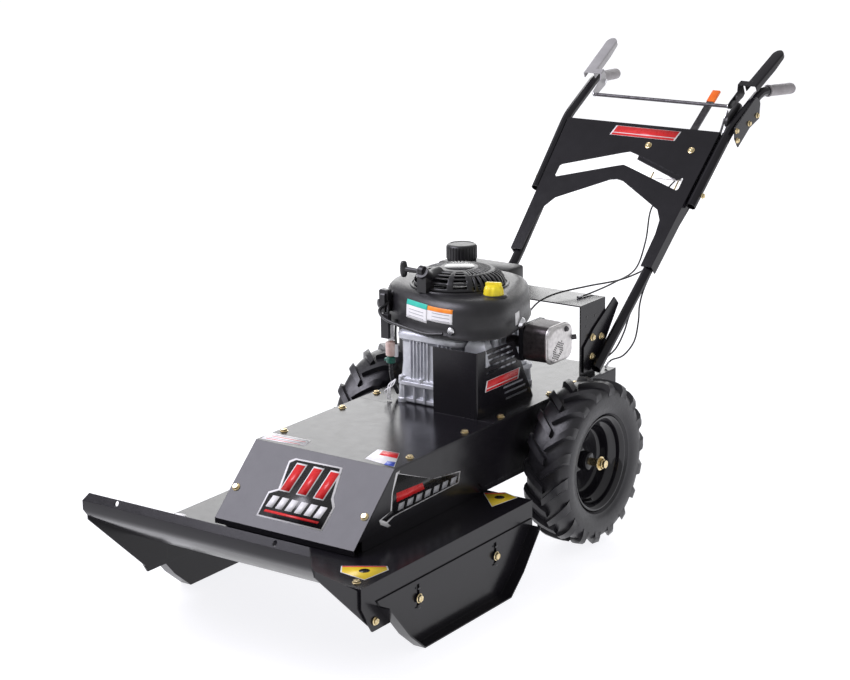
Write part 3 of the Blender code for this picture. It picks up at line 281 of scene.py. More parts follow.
def dress_nodes():
    """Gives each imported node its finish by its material's slot."""
    group = smoother()
    for node in frame["nodes"].values():
        for place in node.material_slots:
            place.material = FINISH[place.material.name.split(".")[0]]
        node.modifiers.new("smooth", "NODES").node_group = group
    special = {
        "crankshaft": "dark_steel",
        "cross_rod": "dark_steel",
        "shift_bracket": "black_paint",
        "shift_lever": "dark_steel",
        "throttle_lever": "dark_steel",
    }
    for name, finish in special.items():
        frame["nodes"][name].material_slots[0].material = FINISH[finish]


# Mesh building


def facing(at, normal, spin=0.0):
    """A place whose z axis runs along the normal."""
    turn = Vector(normal).to_track_quat("Z", "Y").to_matrix().to_4x4()
    return Matrix.Translation(Vector(at)) @ turn @ Matrix.Rotation(spin, 4, "Z")


def add_rings(bm, rings, closed_path=False, caps=True):
    """Skins a run of equal loops of points."""
    loops = [[bm.verts.new(point) for point in ring] for ring in rings]
    pairs = list(zip(loops, loops[1:]))
    if closed_path:
        pairs.append((loops[-1], loops[0]))
    for low, high in pairs:
        for i in range(len(low)):
            j = (i + 1) % len(low)
            bm.faces.new((low[i], low[j], high[j], high[i]))
    if caps and not closed_path:
        bm.faces.new(loops[0][::-1])
        bm.faces.new(loops[-1])


def add_lathe(bm, place, profile, steps, shape=None):
    """Turns (radius, height) points round the place's z axis; shape scales the radius by angle and height."""
    rings = []
    for radius, height in profile:
        ring = []
        for step in range(steps):
            angle = tau * step / steps
            r = radius * (shape(angle, height) if shape else 1)
            ring.append(place @ Vector((r * cos(angle), r * sin(angle), height)))
        rings.append(ring)
    add_rings(bm, rings)


def add_turned(bm, at, way, profile, steps, shape=None):
    """Turns a profile that stands on a point and rises along a direction."""
    add_lathe(bm, facing(at, way), profile, steps, shape)


def add_prism(bm, place, outline, low, high, inset=0.0):
    """Extrudes an outline from low to high, drawing the top in a little."""
    middle = sum((Vector(point) for point in outline), Vector((0, 0))) / len(outline)
    rings = [[place @ Vector((*point, low)) for point in outline]]
    if inset:
        rings.append([place @ Vector((*point, high - inset)) for point in outline])
        drawn = [Vector(point) - (Vector(point) - middle).normalized() * inset for point in outline]
        rings.append([place @ Vector((*point, high)) for point in drawn])
    else:
        rings.append([place @ Vector((*point, high)) for point in outline])
    add_rings(bm, rings)


def add_box(bm, low, high, inset=0.001):
    """An upright box whose top edges draw in a little."""
    outline = [(low[0], low[1]), (high[0], low[1]), (high[0], high[1]), (low[0], high[1])]
    add_prism(bm, Matrix.Identity(4), outline, low[2], high[2], inset)


def ellipse(half_width, half_height, sides, centre=(0, 0)):
    """Points round an ellipse."""
    angles = [tau * side / sides for side in range(sides)]
    return [(centre[0] + half_width * cos(a), centre[1] + half_height * sin(a)) for a in angles]


def add_tube(bm, path, radius, sides=10):
    """A round bar along a path."""
    rings = []
    points = [Vector(point) for point in path]
    for i, point in enumerate(points):
        before, after = points[max(i - 1, 0)], points[min(i + 1, len(points) - 1)]
        place = facing(point, after - before)
        size = radius(i / (len(points) - 1)) if callable(radius) else radius
        rings.append([place @ Vector((*spot, 0)) for spot in ellipse(size, size, sides)])
    add_rings(bm, rings)


def rounded_rectangle(low, high, radius, steps=5):
    """Points round a rectangle with rounded corners."""
    corners = ((high[0], high[1], 0), (low[0], high[1], 1), (low[0], low[1], 2), (high[0], low[1], 3))
    points = []
    for x, y, quarter in corners:
        cx = x - radius if x == high[0] else x + radius
        cy = y - radius if y == high[1] else y + radius
        for step in range(steps + 1):
            angle = (quarter + step / steps) * pi / 2
            points.append((cx + radius * cos(angle), cy + radius * sin(angle)))
    return points


def curve_point(before, start, end, after, t):
    """A point between start and end, a share t along, on the smooth curve through all four."""
    bend = 2 * start + (end - before) * t + (2 * before - 5 * start + 4 * end - after) * t * t
    return 0.5 * (bend + (3 * start - before - 3 * end + after) * t * t * t)


def smooth_path(points, spacing):
    """Points on a smooth curve through the given ones, about one spacing apart."""
    knots = [Vector(point) for point in points]
    knots = [knots[0] * 2 - knots[1]] + knots + [knots[-1] * 2 - knots[-2]]
    found = []
    for before, start, end, after in zip(knots, knots[1:], knots[2:], knots[3:]):
        steps = max(1, round((end - start).length / spacing))
        found += [curve_point(before, start, end, after, step / steps) for step in range(steps)]
    found.append(knots[-2])
    return found


def finish_piece(name, bm, finish, body="machine", replaced=(), angle=35):
    """Makes and shades the piece, gives it its finish and sets it on its body, hiding the nodes it replaces.
    """
    bmesh.ops.recalc_face_normals(bm, faces=bm.faces)
    mesh = bpy.data.meshes.new(name)
    bm.to_mesh(mesh)
    bm.free()
    mesh.shade_smooth()
    mesh.set_sharp_from_angle(angle=radians(angle))
    piece = bpy.data.objects.new(name, mesh)
    bpy.context.scene.collection.objects.link(piece)
    mesh.materials.append(FINISH[finish])
    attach(piece, body)
    if replaced:
        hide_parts(*replaced)
    return piece


def subtract(piece, cutter_mesh, lining):
    """Cuts a closed mesh from a piece, whose cut faces take the lining, and drops the cutter."""
    bmesh.ops.recalc_face_normals(cutter_mesh, faces=cutter_mesh.faces)
    mesh = bpy.data.meshes.new("cutter")
    cutter_mesh.to_mesh(mesh)
    cutter_mesh.free()
    mesh.materials.append(FINISH[lining])
    tool = bpy.data.objects.new("cutter", mesh)
    bpy.context.scene.collection.objects.link(tool)
    cut = piece.modifiers.new("cut", "BOOLEAN")
    cut.operation = "DIFFERENCE"
    cut.object = tool
    cut.solver = "EXACT"
    cut.material_mode = "TRANSFER"
    graph = bpy.context.evaluated_depsgraph_get()
    result = bpy.data.meshes.new_from_object(piece.evaluated_get(graph))
    piece.modifiers.clear()
    piece.data = result
    piece.data.set_sharp_from_angle(angle=radians(35))
    bpy.data.objects.remove(tool)


# Fasteners


def add_bolt(bm, at, normal, size=0.0078, spin=0.3):
    """A flanged hex head."""
    place = facing(at, normal, spin)
    add_lathe(bm, place, [(size * 1.25, 0), (size * 1.25, 0.001), (size * 1.0, 0.0022)], 20)
    head = [(size, 0.0015), (size, 0.0052), (size * 0.84, 0.0062), (size * 0.5, 0.0058), (size * 0.4, 0.0062)]
    add_lathe(bm, place, head, 6)


def slope_point(x, down, lift=0.0):
    """A point on the belt cover's slope: across, down the slope, and out from it."""
    y = COVER_EDGE_Y - down * cos(COVER_SLOPE) - lift * sin(COVER_SLOPE)
    z = COVER_TOP - down * sin(COVER_SLOPE) + lift * cos(COVER_SLOPE)
    return Vector((x, y, z))


def panel_point(x, down, lift=0.0):
    """A point on the handle panel: across, down its slope, and out from its front."""
    y = PANEL_TOP.y - down * cos(PANEL_SLOPE) - lift * sin(PANEL_SLOPE)
    z = PANEL_TOP.z - down * sin(PANEL_SLOPE) + lift * cos(PANEL_SLOPE)
    return Vector((x, y, z))


def bolts():
    """Yellow zinc bolts all over the sheet metal."""
    bm = bmesh.new()
    slope_out = (0, -sin(COVER_SLOPE), cos(COVER_SLOPE))
    panel_out = (0, -sin(PANEL_SLOPE), cos(PANEL_SLOPE))
    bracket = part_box("handle_bracket_left")[1].x
    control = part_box("control_plate")[1].x
    for x in (-0.182, 0.182):
        add_bolt(bm, slope_point(x, 0.127), slope_out)
    for x, y in ((0.18, -0.579), (0.178, -0.359), (0.182, -0.215), (0.182, 0.005), (0.186, 0.12)):
        for side in (1, -1):
            add_bolt(bm, (side * x, y, COVER_TOP), UP)
    for side in (1, -1):
        out = (side, 0, 0)
        add_bolt(bm, (side * 0.288, -0.925, DECK_TOP), UP)
        add_bolt(bm, (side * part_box("deck_shell")[1].x * 0.9725, -0.906, 0.105), out)
        for y in SKID_BOLTS_Y:
            add_bolt(bm, (side * SKID_BOLT_X, y, SKID_BOLT_Z), out, 0.0086)
        for y, z in ((0.206, 0.449), (0.248, 0.442), (0.204, 0.399)):
            add_bolt(bm, (side * bracket, y, z), out)
        add_bolt(bm, (side * 0.1983, 0.33, 0.4748), out, 0.0066)
        add_bolt(bm, (side * 0.2543, 0.6414, 0.7434), out, 0.0062)
    for y, z in ((0.7877, 0.8708), (0.7834, 0.8968), (0.8554, 0.9067), (0.9017, 0.9219)):
        add_bolt(bm, (control, y, z), (1, 0, 0), 0.0062)
    for x, down in ((0.047, 0.067), (0.178, 0.069)):
        add_bolt(bm, panel_point(x, down), panel_out)
    finish_piece("sheet_metal_bolts", bm, "zinc")


def painted_slot_shade():
    """Thin black discs as painted shade in the slots' ends above and below each skid bolt, and in the holes
    in the bridge's legs.
    """
    bm = bmesh.new()
    for side in (1, -1):
        for y in SKID_BOLTS_Y:
            for z in SKID_SLOT_ENDS:
                place = facing((side * SKID_BOLT_X, y, z), (side, 0, 0))
                outline = [(across, up) for up, across in ellipse(0.0022, 0.006, 12)]
                add_prism(bm, place, outline, -0.0004, 0.0003)
        for y, z in ((0.186, 0.505), (0.227, 0.5), (0.184, 0.481), (0.18, 0.381)):
            place = facing((side * 0.1783, y, z), (side, 0, 0))
            add_prism(bm, place, ellipse(0.0035, 0.0035, 14), -0.0004, 0.0003)
    # The black print finish here is painted shade inside the slots and holes.
    finish_piece("slot_shade_discs", bm, "black_vinyl")


# Wheels


def wheel_point(side, angle, radius, offset):
    """A point on a wheel: round its axle from the rear, out from it, and along it away from the machine."""
    across = side * (TYRE_MIDDLE + offset)
    return Vector((across, WHEEL_Y + radius * cos(angle), WHEEL_Z + radius * sin(angle)))


def add_wheel_rings(bm, side, profile, steps):
    """Closed hoops round the axle, one for each radius and offset of a profile."""
    angles = [tau * step / steps for step in range(steps)]
    rings = [[wheel_point(side, angle, radius, offset) for angle in angles] for radius, offset in profile]
    add_rings(bm, rings, closed_path=True)


def add_lug(bm, side, hand, start):
    """One chevron bar from the tyre's shoulder to its middle, whose middle end leads as the wheel rolls."""
    rows = (
        (0.0565, 0.168, 0.169), (0.0575, 0.174, 0.1835), (0.053, 0.182, 0.195), (0.043, 0.187, 0.2005),
        (0.025, 0.189, 0.2022), (0.008, 0.19, 0.2024), (-0.003, 0.19, 0.201),
    )
    sweep, wide, sunk = 0.27, 0.0088, 0.006
    shoulder, middle = 0.0575, -0.003
    rings = []
    for offset, base, crest in rows:
        lead = start + sweep * (shoulder - offset) / (shoulder - middle)
        taper = 1.0 + 0.25 * offset / shoulder
        half_base = wide * taper * 1.35 / base
        half_crest = wide * taper / crest
        left = ((lead - half_base, base - sunk), (lead - half_crest, crest))
        right = ((lead + half_crest, crest), (lead + half_base, base - sunk))
        rings.append([wheel_point(side, angle, radius, hand * offset) for angle, radius in left + right])
    add_rings(bm, rings)


def tyre(name, side):
    """A lugged carcass: rounded sidewalls with two rings, and two staggered rows of chevron bars."""
    outer = [
        (0.1165, 0.04), (0.1215, 0.0455), (0.1245, 0.05), (0.1275, 0.0505), (0.133, 0.0535), (0.142, 0.0562),
        (0.154, 0.0575), (0.164, 0.0572), (0.173, 0.0558), (0.18, 0.052), (0.185, 0.046), (0.188, 0.038),
        (0.1895, 0.025), (0.19, 0.01),
    ]
    profile = outer + [(radius, -offset) for radius, offset in reversed(outer)]
    profile += [(0.11, -0.036), (0.11, 0.036)]
    bm = bmesh.new()
    add_wheel_rings(bm, side, profile, 96)
    for lug in range(LUGS):
        for hand, stagger in ((1, 0.0), (-1, 0.5)):
            add_lug(bm, side, hand, tau * (lug + stagger) / LUGS)
    finish_piece(
        "lugged_tyre_" + name, bm, "tyre_rubber", body="wheel_" + name, replaced=("tyre_" + name,),
        angle=40,
    )


def rim(name, side):
    """A deep dished rim with a rolled lip, a stepped well and a hub, all round."""
    front = [
        (0.1165, 0.0435), (0.117, 0.0455), (0.115, 0.0462), (0.112, 0.045), (0.1085, 0.0415), (0.106, 0.039),
        (0.1045, 0.036), (0.104, 0.029), (0.103, 0.0245), (0.0985, 0.0205), (0.091, 0.0175), (0.088, 0.013),
        (0.087, 0.004), (0.086, -0.006), (0.084, -0.0115), (0.078, -0.014), (0.05, -0.015), (0.036, -0.013),
        (0.03, -0.008), (0.023, -0.007), (0.0225, 0.015), (0.0205, 0.017), (0.01, 0.017),
    ]
    back = [
        (0.01, -0.058), (0.0225, -0.058), (0.0225, -0.018), (0.05, -0.019), (0.08, -0.018), (0.09, -0.015),
        (0.09, 0.01), (0.106, 0.02), (0.108, 0.037),
    ]
    bm = bmesh.new()
    add_wheel_rings(bm, side, front + back, 72)
    inner = [
        (0.09, -0.014), (0.1045, -0.0225), (0.1045, -0.0395), (0.1165, -0.046), (0.1165, -0.0435),
        (0.108, -0.037), (0.108, -0.024), (0.0915, -0.012),
    ]
    add_wheel_rings(bm, side, inner, 72)
    finish_piece(
        "dished_rim_" + name, bm, "rim_paint", body="wheel_" + name,
        replaced=("rim_" + name,), angle=50,
    )
    bm = bmesh.new()
    stem = wheel_point(side, radians(250), 0.097, 0.016)
    add_tube(
        bm, [stem, stem + Vector((side * 0.016, 0, 0.005)), stem + Vector((side * 0.026, 0, 0.01))],
        0.0036, 12,
    )
    finish_piece("valve_stem_" + name, bm, "black_plastic", body="wheel_" + name)


def axle_nut(name, side):
    """A washer and a castle nut on the axle's end."""
    bm = bmesh.new()
    place = facing((side * 0.3335, WHEEL_Y, WHEEL_Z), (side, 0, 0), 0.2)
    add_lathe(bm, place, [(0.017, 0), (0.0175, 0.0008), (0.017, 0.0022), (0.01, 0.0022)], 28)
    add_lathe(bm, place, [(0.0128, 0.002), (0.0128, 0.0095), (0.0115, 0.0105), (0.0095, 0.0105)], 6)
    add_lathe(bm, place, [(0.0092, 0.01), (0.0092, 0.0155), (0.0084, 0.0164)], 20)
    finish_piece("axle_nut_" + name, bm, "zinc", body="wheel_" + name)


# Engine


SHROUD_PLAN = (
    (0.168, -0.185), (0.125, -0.242), (0.045, -0.259), (-0.045, -0.241), (-0.14, -0.2), (-0.207, -0.135),
    (-0.222, -0.04), (-0.195, 0.05), (-0.11, 0.1), (0.0, 0.11), (0.074, 0.082), (0.121, 0.008),
    (0.155, -0.09),
)


def shroud_loop(height, inset, steps=7):
    """The blower housing's plan at a height, drawn in towards the crankshaft."""
    plan = [Vector(point) for point in SHROUD_PLAN]
    loop = []
    for i in range(len(plan)):
        corners = [plan[(i + shift) % len(plan)] for shift in (-1, 0, 1, 2)]
        for step in range(steps):
            point = curve_point(*corners, step / steps)
            point -= (point - CRANK).normalized() * inset
            loop.append(Vector((*point, height)))
    return loop


def ring_like(loop, height, radius):
    """A circle about the crankshaft with a point in line with each point of a loop."""
    ways = [(Vector(point[:2]) - CRANK).normalized() for point in loop]
    return [Vector((CRANK.x + radius * way.x, CRANK.y + radius * way.y, height)) for way in ways]


def shroud():
    """The blower housing: a lip at its foot, walls that draw in, a rolled shoulder and a rim for the dome."""
    foot, top = SHROUD_BOTTOM, SHROUD_TOP
    outside = [
        (foot, 0.004), (foot, 0.0), (foot + 0.006, 0.0), (foot + 0.0075, 0.0022), (foot + 0.03, 0.003),
        (top - 0.036, 0.0042), (top - 0.024, 0.0065), (top - 0.014, 0.0115), (top - 0.006, 0.0195),
        (top - 0.0015, 0.03), (top, 0.04),
    ]
    dome_rim = [(0, 0.01), (0.003, 0.0085), (0.003, 0.004), (0, 0.0025), (0, -0.008), (-0.003, -0.008)]
    inside = [(top - 0.003, 0.043), (top - 0.01, 0.025), (top - 0.026, 0.0105), (foot + 0.03, 0.006)]
    plan = shroud_loop(0, 0)
    rings = [shroud_loop(height, inset) for height, inset in outside]
    rings += [ring_like(plan, top + lift, DOME_RADIUS + spread) for lift, spread in dome_rim]
    rings += [shroud_loop(height, inset) for height, inset in inside]
    bm = bmesh.new()
    add_rings(bm, rings, closed_path=True)
    add_turned(bm, (0.115, -0.14, top - 0.004), UP, [(0.034, 0), (0.031, 0.0052), (0.027, 0.0058)], 32)
    return finish_piece("engine_shroud", bm, "black_plastic", replaced=("blower_housing",), angle=60)


def dome_profile(share):
    """Radius and height of the starter dome from its middle (0) to its foot (1)."""
    base = SHROUD_TOP + 0.0003
    knots = [
        (0.0, 0.042), (0.05, 0.0405), (0.07, 0.0385), (0.086, 0.0345), (0.098, 0.029), (0.106, 0.022),
        (0.1105, 0.013), (0.112, 0.0),
    ]
    lengths = [0.0]
    for (r0, h0), (r1, h1) in zip(knots, knots[1:]):
        lengths.append(lengths[-1] + hypot(r1 - r0, h1 - h0))
    target = share * lengths[-1]
    for i in range(len(knots) - 1):
        if target <= lengths[i + 1] or i == len(knots) - 2:
            t = (target - lengths[i]) / (lengths[i + 1] - lengths[i])
            radius = knots[i][0] + (knots[i + 1][0] - knots[i][0]) * t
            return radius, base + knots[i][1] + (knots[i + 1][1] - knots[i][1]) * t


def dome():
    """The recoil starter's cover: a smooth cap, curved slots in front and radial slots behind."""
    steps, rows, first_row = 180, 26, 9
    bm = bmesh.new()
    rings = []
    for row in range(rows + 1):
        radius, height = dome_profile(max(row / rows, 0.001))
        ring = []
        for step in range(steps):
            angle = tau * step / steps
            ring.append(bm.verts.new((CRANK.x + radius * cos(angle), CRANK.y + radius * sin(angle), height)))
        rings.append(ring)

    def is_open(row, step):
        degrees = (step + 0.5) * 360 / steps
        across_ribs = {212, 252, 292, 318}
        if row < first_row or row >= rows - 1:
            return False
        if 206 < degrees < 322:
            near_rib = any(abs(degrees - rib) < 4 for rib in across_ribs)
            return not near_rib and row % 3 != 0 and row >= first_row + 2
        if row in (first_row + 6, first_row + 7):
            return False
        return step % 4 < 2

    for row in range(rows):
        for step in range(steps):
            if not is_open(row, step):
                ahead = (step + 1) % steps
                low, high = rings[row], rings[row + 1]
                bm.faces.new((low[step], low[ahead], high[ahead], high[step]))
    bm.faces.new(rings[0])
    loose = [vertex for vertex in bm.verts if not vertex.link_faces]
    bmesh.ops.delete(bm, geom=loose, context="VERTS")
    bmesh.ops.recalc_face_normals(bm, faces=bm.faces)
    piece = finish_piece("starter_dome", bm, "black_plastic", replaced=("starter_housing",), angle=50)
    wall = piece.modifiers.new("wall", "SOLIDIFY")
    wall.thickness = 0.0022
    wall.offset = -1


def dome_badge():
    """A plain glossy disc on top of the dome."""
    bm = bmesh.new()
    disc = [(0.036, 0), (0.0365, 0.0016), (0.034, 0.0026), (0.001, 0.003)]
    add_turned(bm, (CRANK.x, CRANK.y, SHROUD_TOP + 0.0405), UP, disc, 48)
    finish_piece("dome_badge", bm, "gloss_plastic")


def rope_guide():
    """The bent horn that the starter's rope runs out through."""
    base = SHROUD_TOP
    bm = bmesh.new()
    guide = [(-0.0455, -0.14, base + 0.03), (-0.0445, -0.185, base + 0.032), (-0.042, -0.212, base + 0.05)]
    add_tube(bm, smooth_path(guide, 0.008), lambda share: 0.019 - 0.004 * share, 18)
    mouth = [(0.012, -0.012), (0.0125, 0), (0.01, 0.003)]
    add_turned(bm, (-0.0505, -0.2075, base + 0.052), (-1, 0, 0.05), mouth, 20)
    add_box(bm, (-0.056, -0.214, base - 0.001), (-0.03, -0.18, base + 0.04), 0.004)
    finish_piece("rope_guide", bm, "black_plastic")


def fan():
    """The flywheel fan that shows through the dome's slots."""
    bm = bmesh.new()
    place = facing((CRANK.x, CRANK.y, SHROUD_TOP - 0.04), UP)
    add_lathe(bm, place, [(0.095, 0), (0.096, 0.003), (0.03, 0.006), (0.028, 0.03), (0.0275, 0.032)], 40)
    for blade in range(16):
        turn = place @ Matrix.Rotation(tau * blade / 16, 4, "Z")
        add_prism(bm, turn, [(0.04, -0.0012), (0.094, 0.006), (0.094, 0.009), (0.04, 0.0012)], 0.003, 0.026)
    finish_piece("flywheel_fan", bm, "black_plastic", body="crank")


def pull_handle():
    """The starter's T-handle: a rounded grip on a tapered stem."""
    low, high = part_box("recoil_handle")
    at = Vector((low.x + 0.008, (low.y + high.y) / 2, 0))
    bm = bmesh.new()
    half = (high.z - low.z) / 2
    middle = Vector((at.x, at.y, (low.z + high.z) / 2))
    profile = []
    for step in range(13):
        angle = pi * step / 12
        profile.append((0.0015 + 0.0078 * sin(angle) ** 0.6, half * (1 - cos(angle))))
    add_turned(bm, (at.x, at.y, low.z), UP, profile, 24)
    add_tube(
        bm, [middle, middle + Vector((0.02, 0, 0)), Vector((high.x, at.y, middle.z))],
        lambda share: 0.0072 - 0.0018 * share, 16,
    )
    finish_piece(
        "starter_grip", bm, "black_plastic", body="pull_handle", replaced=("recoil_handle",), angle=50,
    )


def fuel_cap():
    """The tall ribbed fuel cap."""
    bm = bmesh.new()
    low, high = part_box("fuel_cap")
    at = ((low + high) / 2).xy
    tall, radius = high.z - low.z, (high.x - low.x) / 2

    def ribs(angle, height):
        between = (angle * 30 / tau) % 1 > 0.55
        return 0.965 if between and 0.004 < height < tall - 0.006 else 1.0

    profile = [
        (radius * 0.93, 0), (radius * 0.95, 0.0045), (radius, 0.006), (radius, 0.016), (radius, 0.03),
        (radius * 0.995, tall - 0.007), (radius * 0.97, tall - 0.0045), (radius * 0.9, tall - 0.0012),
        (radius * 0.8, tall), (radius * 0.76, tall - 0.0012), (radius * 0.05, tall - 0.0008),
    ]
    add_turned(bm, (*at, low.z), UP, profile, 240, ribs)
    finish_piece(
        "ribbed_fuel_cap", bm, "black_plastic", body="fuel_filler_cap", replaced=("fuel_cap",), angle=30,
    )


def oil_cap():
    """The fluted oil cap with a wing to turn it by."""
    bm = bmesh.new()
    low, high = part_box("oil_cap")
    at = ((low + high) / 2).xy
    tall, radius = high.z - low.z, (high.x - low.x) / 2
    place = facing((*at, low.z), UP, 0.35)

    def flutes(angle, height):
        return 1.0 - 0.035 * (1 - cos(angle * 10)) if height > 0.004 else 1.0

    profile = [
        (radius * 0.98, 0), (radius, 0.002), (radius * 0.99, 0.006), (radius * 0.95, 0.012),
        (radius * 0.9, 0.017), (radius * 0.78, 0.021), (radius * 0.4, 0.0235), (radius * 0.04, 0.024),
    ]
    add_lathe(bm, place, profile, 120, flutes)
    wing = [
        (-0.019, -0.0042), (0.019, -0.0042), (0.0205, 0.0), (0.019, 0.0042), (-0.019, 0.0042), (-0.0205, 0.0),
    ]
    add_prism(bm, place, wing, 0.016, tall, 0.0022)
    finish_piece(
        "winged_oil_cap", bm, "yellow_plastic", body="oil_filler_cap", replaced=("oil_cap",), angle=40,
    )


def add_hose(bm, knots, radius, sides=12, spacing=0.006):
    """A smooth round hose through the given points."""
    add_tube(bm, smooth_path(knots, spacing), radius, sides)


def rounded_block(bm, low, high, radius, sections, steps=5):
    """A block with rounded upright corners, drawn in by each section's inset at its height."""
    rings = []
    for height, inset in sections:
        near, far = (low[0] + inset, low[1] + inset), (high[0] - inset, high[1] - inset)
        outline = rounded_rectangle(near, far, max(radius - inset / 2, 0.002), steps)
        rings.append([Vector((*point, height)) for point in outline])
    add_rings(bm, rings)


def block_casting():
    """The cylinder block: a lipped crown over ribbed walls and a bolted flange."""
    low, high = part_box("engine_block")
    flange = low.z
    bm = bmesh.new()
    sections = [
        (flange + 0.0005, 0.0), (flange + 0.006, 0.0), (flange + 0.0075, 0.006), (flange + 0.04, 0.009),
        (high.z - 0.028, 0.009), (high.z - 0.021, 0.004), (high.z - 0.019, 0.0005), (high.z - 0.008, 0.0),
        (high.z - 0.003, 0.003), (high.z, 0.008),
    ]
    rounded_block(bm, low, high, 0.022, sections, 6)
    rib_low, rib_high, half = flange + 0.006, high.z - 0.021, 0.0016
    for x in (-0.062, -0.052, -0.042, -0.032, -0.022, -0.012, 0.02, 0.032, 0.044, 0.056):
        add_box(bm, (x - half, low.y + 0.0035, rib_low), (x + half, low.y + 0.016, rib_high), 0.0012)
    for row in range(9):
        y = -0.19 + 0.025 * row
        for side in (low.x + 0.0035, high.x - 0.016):
            add_box(bm, (side, y - half, rib_low), (side + 0.0125, y + half, rib_high), 0.0012)
    for x in (-0.088, -0.03, 0.03):
        boss = [(0.0085, 0), (0.0085, 0.0105), (0.007, 0.012)]
        add_turned(bm, (x, low.y + 0.005, flange - 0.001), UP, boss, 18)
    finish_piece("block_casting", bm, "cast_aluminium", replaced=("engine_block",))


def sump_casting():
    """The sump: a flange on ribbed walls with four feet, and the oil filler's tube beside it."""
    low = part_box("engine_sump")[0]
    high = Vector((0.1, 0.07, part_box("engine_block")[0].z - 0.0003))
    bm = bmesh.new()
    sections = [
        (low.z, 0.01), (low.z + 0.004, 0.006), (low.z + 0.012, 0.006), (low.z + 0.016, 0.014),
        (high.z - 0.012, 0.01), (high.z - 0.01, 0.0), (high.z - 0.001, 0.0), (high.z, 0.001),
    ]
    rounded_block(bm, low, high, 0.024, sections, 6)
    rib_low, rib_high, half = low.z + 0.004, high.z - 0.008, 0.0022
    for x in (-0.08, -0.05, -0.02, 0.01, 0.04, 0.07):
        add_box(bm, (x - half, low.y + 0.003, rib_low), (x + half, low.y + 0.02, rib_high), 0.0015)
    for y in (-0.19, -0.14, -0.09, -0.04, 0.01):
        add_box(bm, (low.x + 0.003, y - half, rib_low), (low.x + 0.02, y + half, rib_high), 0.0015)
    for x, y in ((-0.088, low.y + 0.012), (0.083, low.y + 0.012), (-0.088, 0.055), (0.083, 0.055)):
        add_turned(bm, (x, y, low.z), UP, [(0.013, 0), (0.013, 0.01), (0.0105, 0.012), (0.0085, 0.052)], 20)
    tube = [(0.02, 0.365), (0.02, 0.4), (0.0135, 0.406), (0.0125, 0.47), (0.0125, SHROUD_TOP - 0.002)]
    add_turned(bm, (0.115, -0.14, 0), UP, tube, 24)
    finish_piece("sump_casting", bm, "cast_aluminium", replaced=("engine_sump",))


def muffler():
    """Two pressed halves with a rolled seam, the inlet pipe, and a ring of outlet holes whose cut walls are
    painted black as shade.
    """
    low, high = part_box("muffler")
    outer = 0.16
    outline = rounded_rectangle((low.y, low.z), (high.y, high.z), 0.026, 8)
    middle = Vector(((low.y + high.y) / 2, (low.z + high.z) / 2))

    def pressing(sections):
        bm = bmesh.new()
        rings = []
        for x, inset in sections:
            ring = []
            for y, z in outline:
                away = Vector((y, z)) - middle
                ring.append(Vector((x, *(middle + away * (1 - inset / away.length)))))
            rings.append(ring)
        add_rings(bm, rings)
        return bm

    seam = high.x - 0.013
    back = [
        (outer + 0.004, 0.01), (outer, 0.006), (outer + 0.0015, 0.002), (outer + 0.006, 0.0015),
        (seam, 0.003),
    ]
    bm = pressing(back)
    pipe = smooth_path([(0.0905, -0.036, 0.485), (0.128, -0.036, 0.485), (0.172, -0.036, 0.485)], 0.01)
    add_tube(bm, pipe, 0.014, 20)
    finish_piece("muffler_body", bm, "heat_dark_steel", replaced=("muffler",))
    sections = [
        (seam - 0.0008, 0.0045), (seam - 0.0008, 0.0), (seam + 0.003, 0.0), (seam + 0.004, 0.0018),
        (high.x - 0.006, 0.0022), (high.x - 0.0025, 0.0042), (high.x - 0.0006, 0.0075), (high.x, 0.012),
    ]
    piece = finish_piece("muffler_cover", pressing(sections), "galvanised")
    cuts = bmesh.new()
    centre, tilt, hole = Vector((-0.048, 0.481)), radians(38), 0.0021
    for row in range(-3, 4):
        for column in range(-5, 6):
            across = (column + (row % 2) * 0.5) * 0.0058
            up = row * 0.0052
            if not 0.1 < (across / 0.028) ** 2 + (up / 0.0185) ** 2 < 1:
                continue
            y = centre.x + across * cos(tilt) - up * sin(tilt)
            z = centre.y + across * sin(tilt) + up * cos(tilt)
            add_turned(cuts, (high.x - 0.005, y, z), (1, 0, 0), [(hole, 0), (hole, 0.01)], 10)
    # The holes' cut walls take the black print finish as painted shade inside them.
    subtract(piece, cuts, "black_vinyl")


def muffler_fixings():
    """The muffler's screw and clamp bolt, and the bracket that holds it to the engine."""
    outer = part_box("muffler")[1].x
    bm = bmesh.new()
    add_bolt(bm, (outer, -0.012, 0.528), (1, 0, 0), 0.0058)
    clamp = [(outer - 0.01, 0.013, 0.5), (outer - 0.001, 0.02, 0.5), (outer + 0.006, 0.026, 0.501)]
    add_tube(bm, clamp, 0.0062, 14)
    finish_piece("muffler_bolts", bm, "dark_steel")
    bm = bmesh.new()
    add_box(bm, (0.146, -0.08, 0.452), (0.159, 0.018, 0.538), 0.002)
    finish_piece("muffler_bracket", bm, "black_paint")


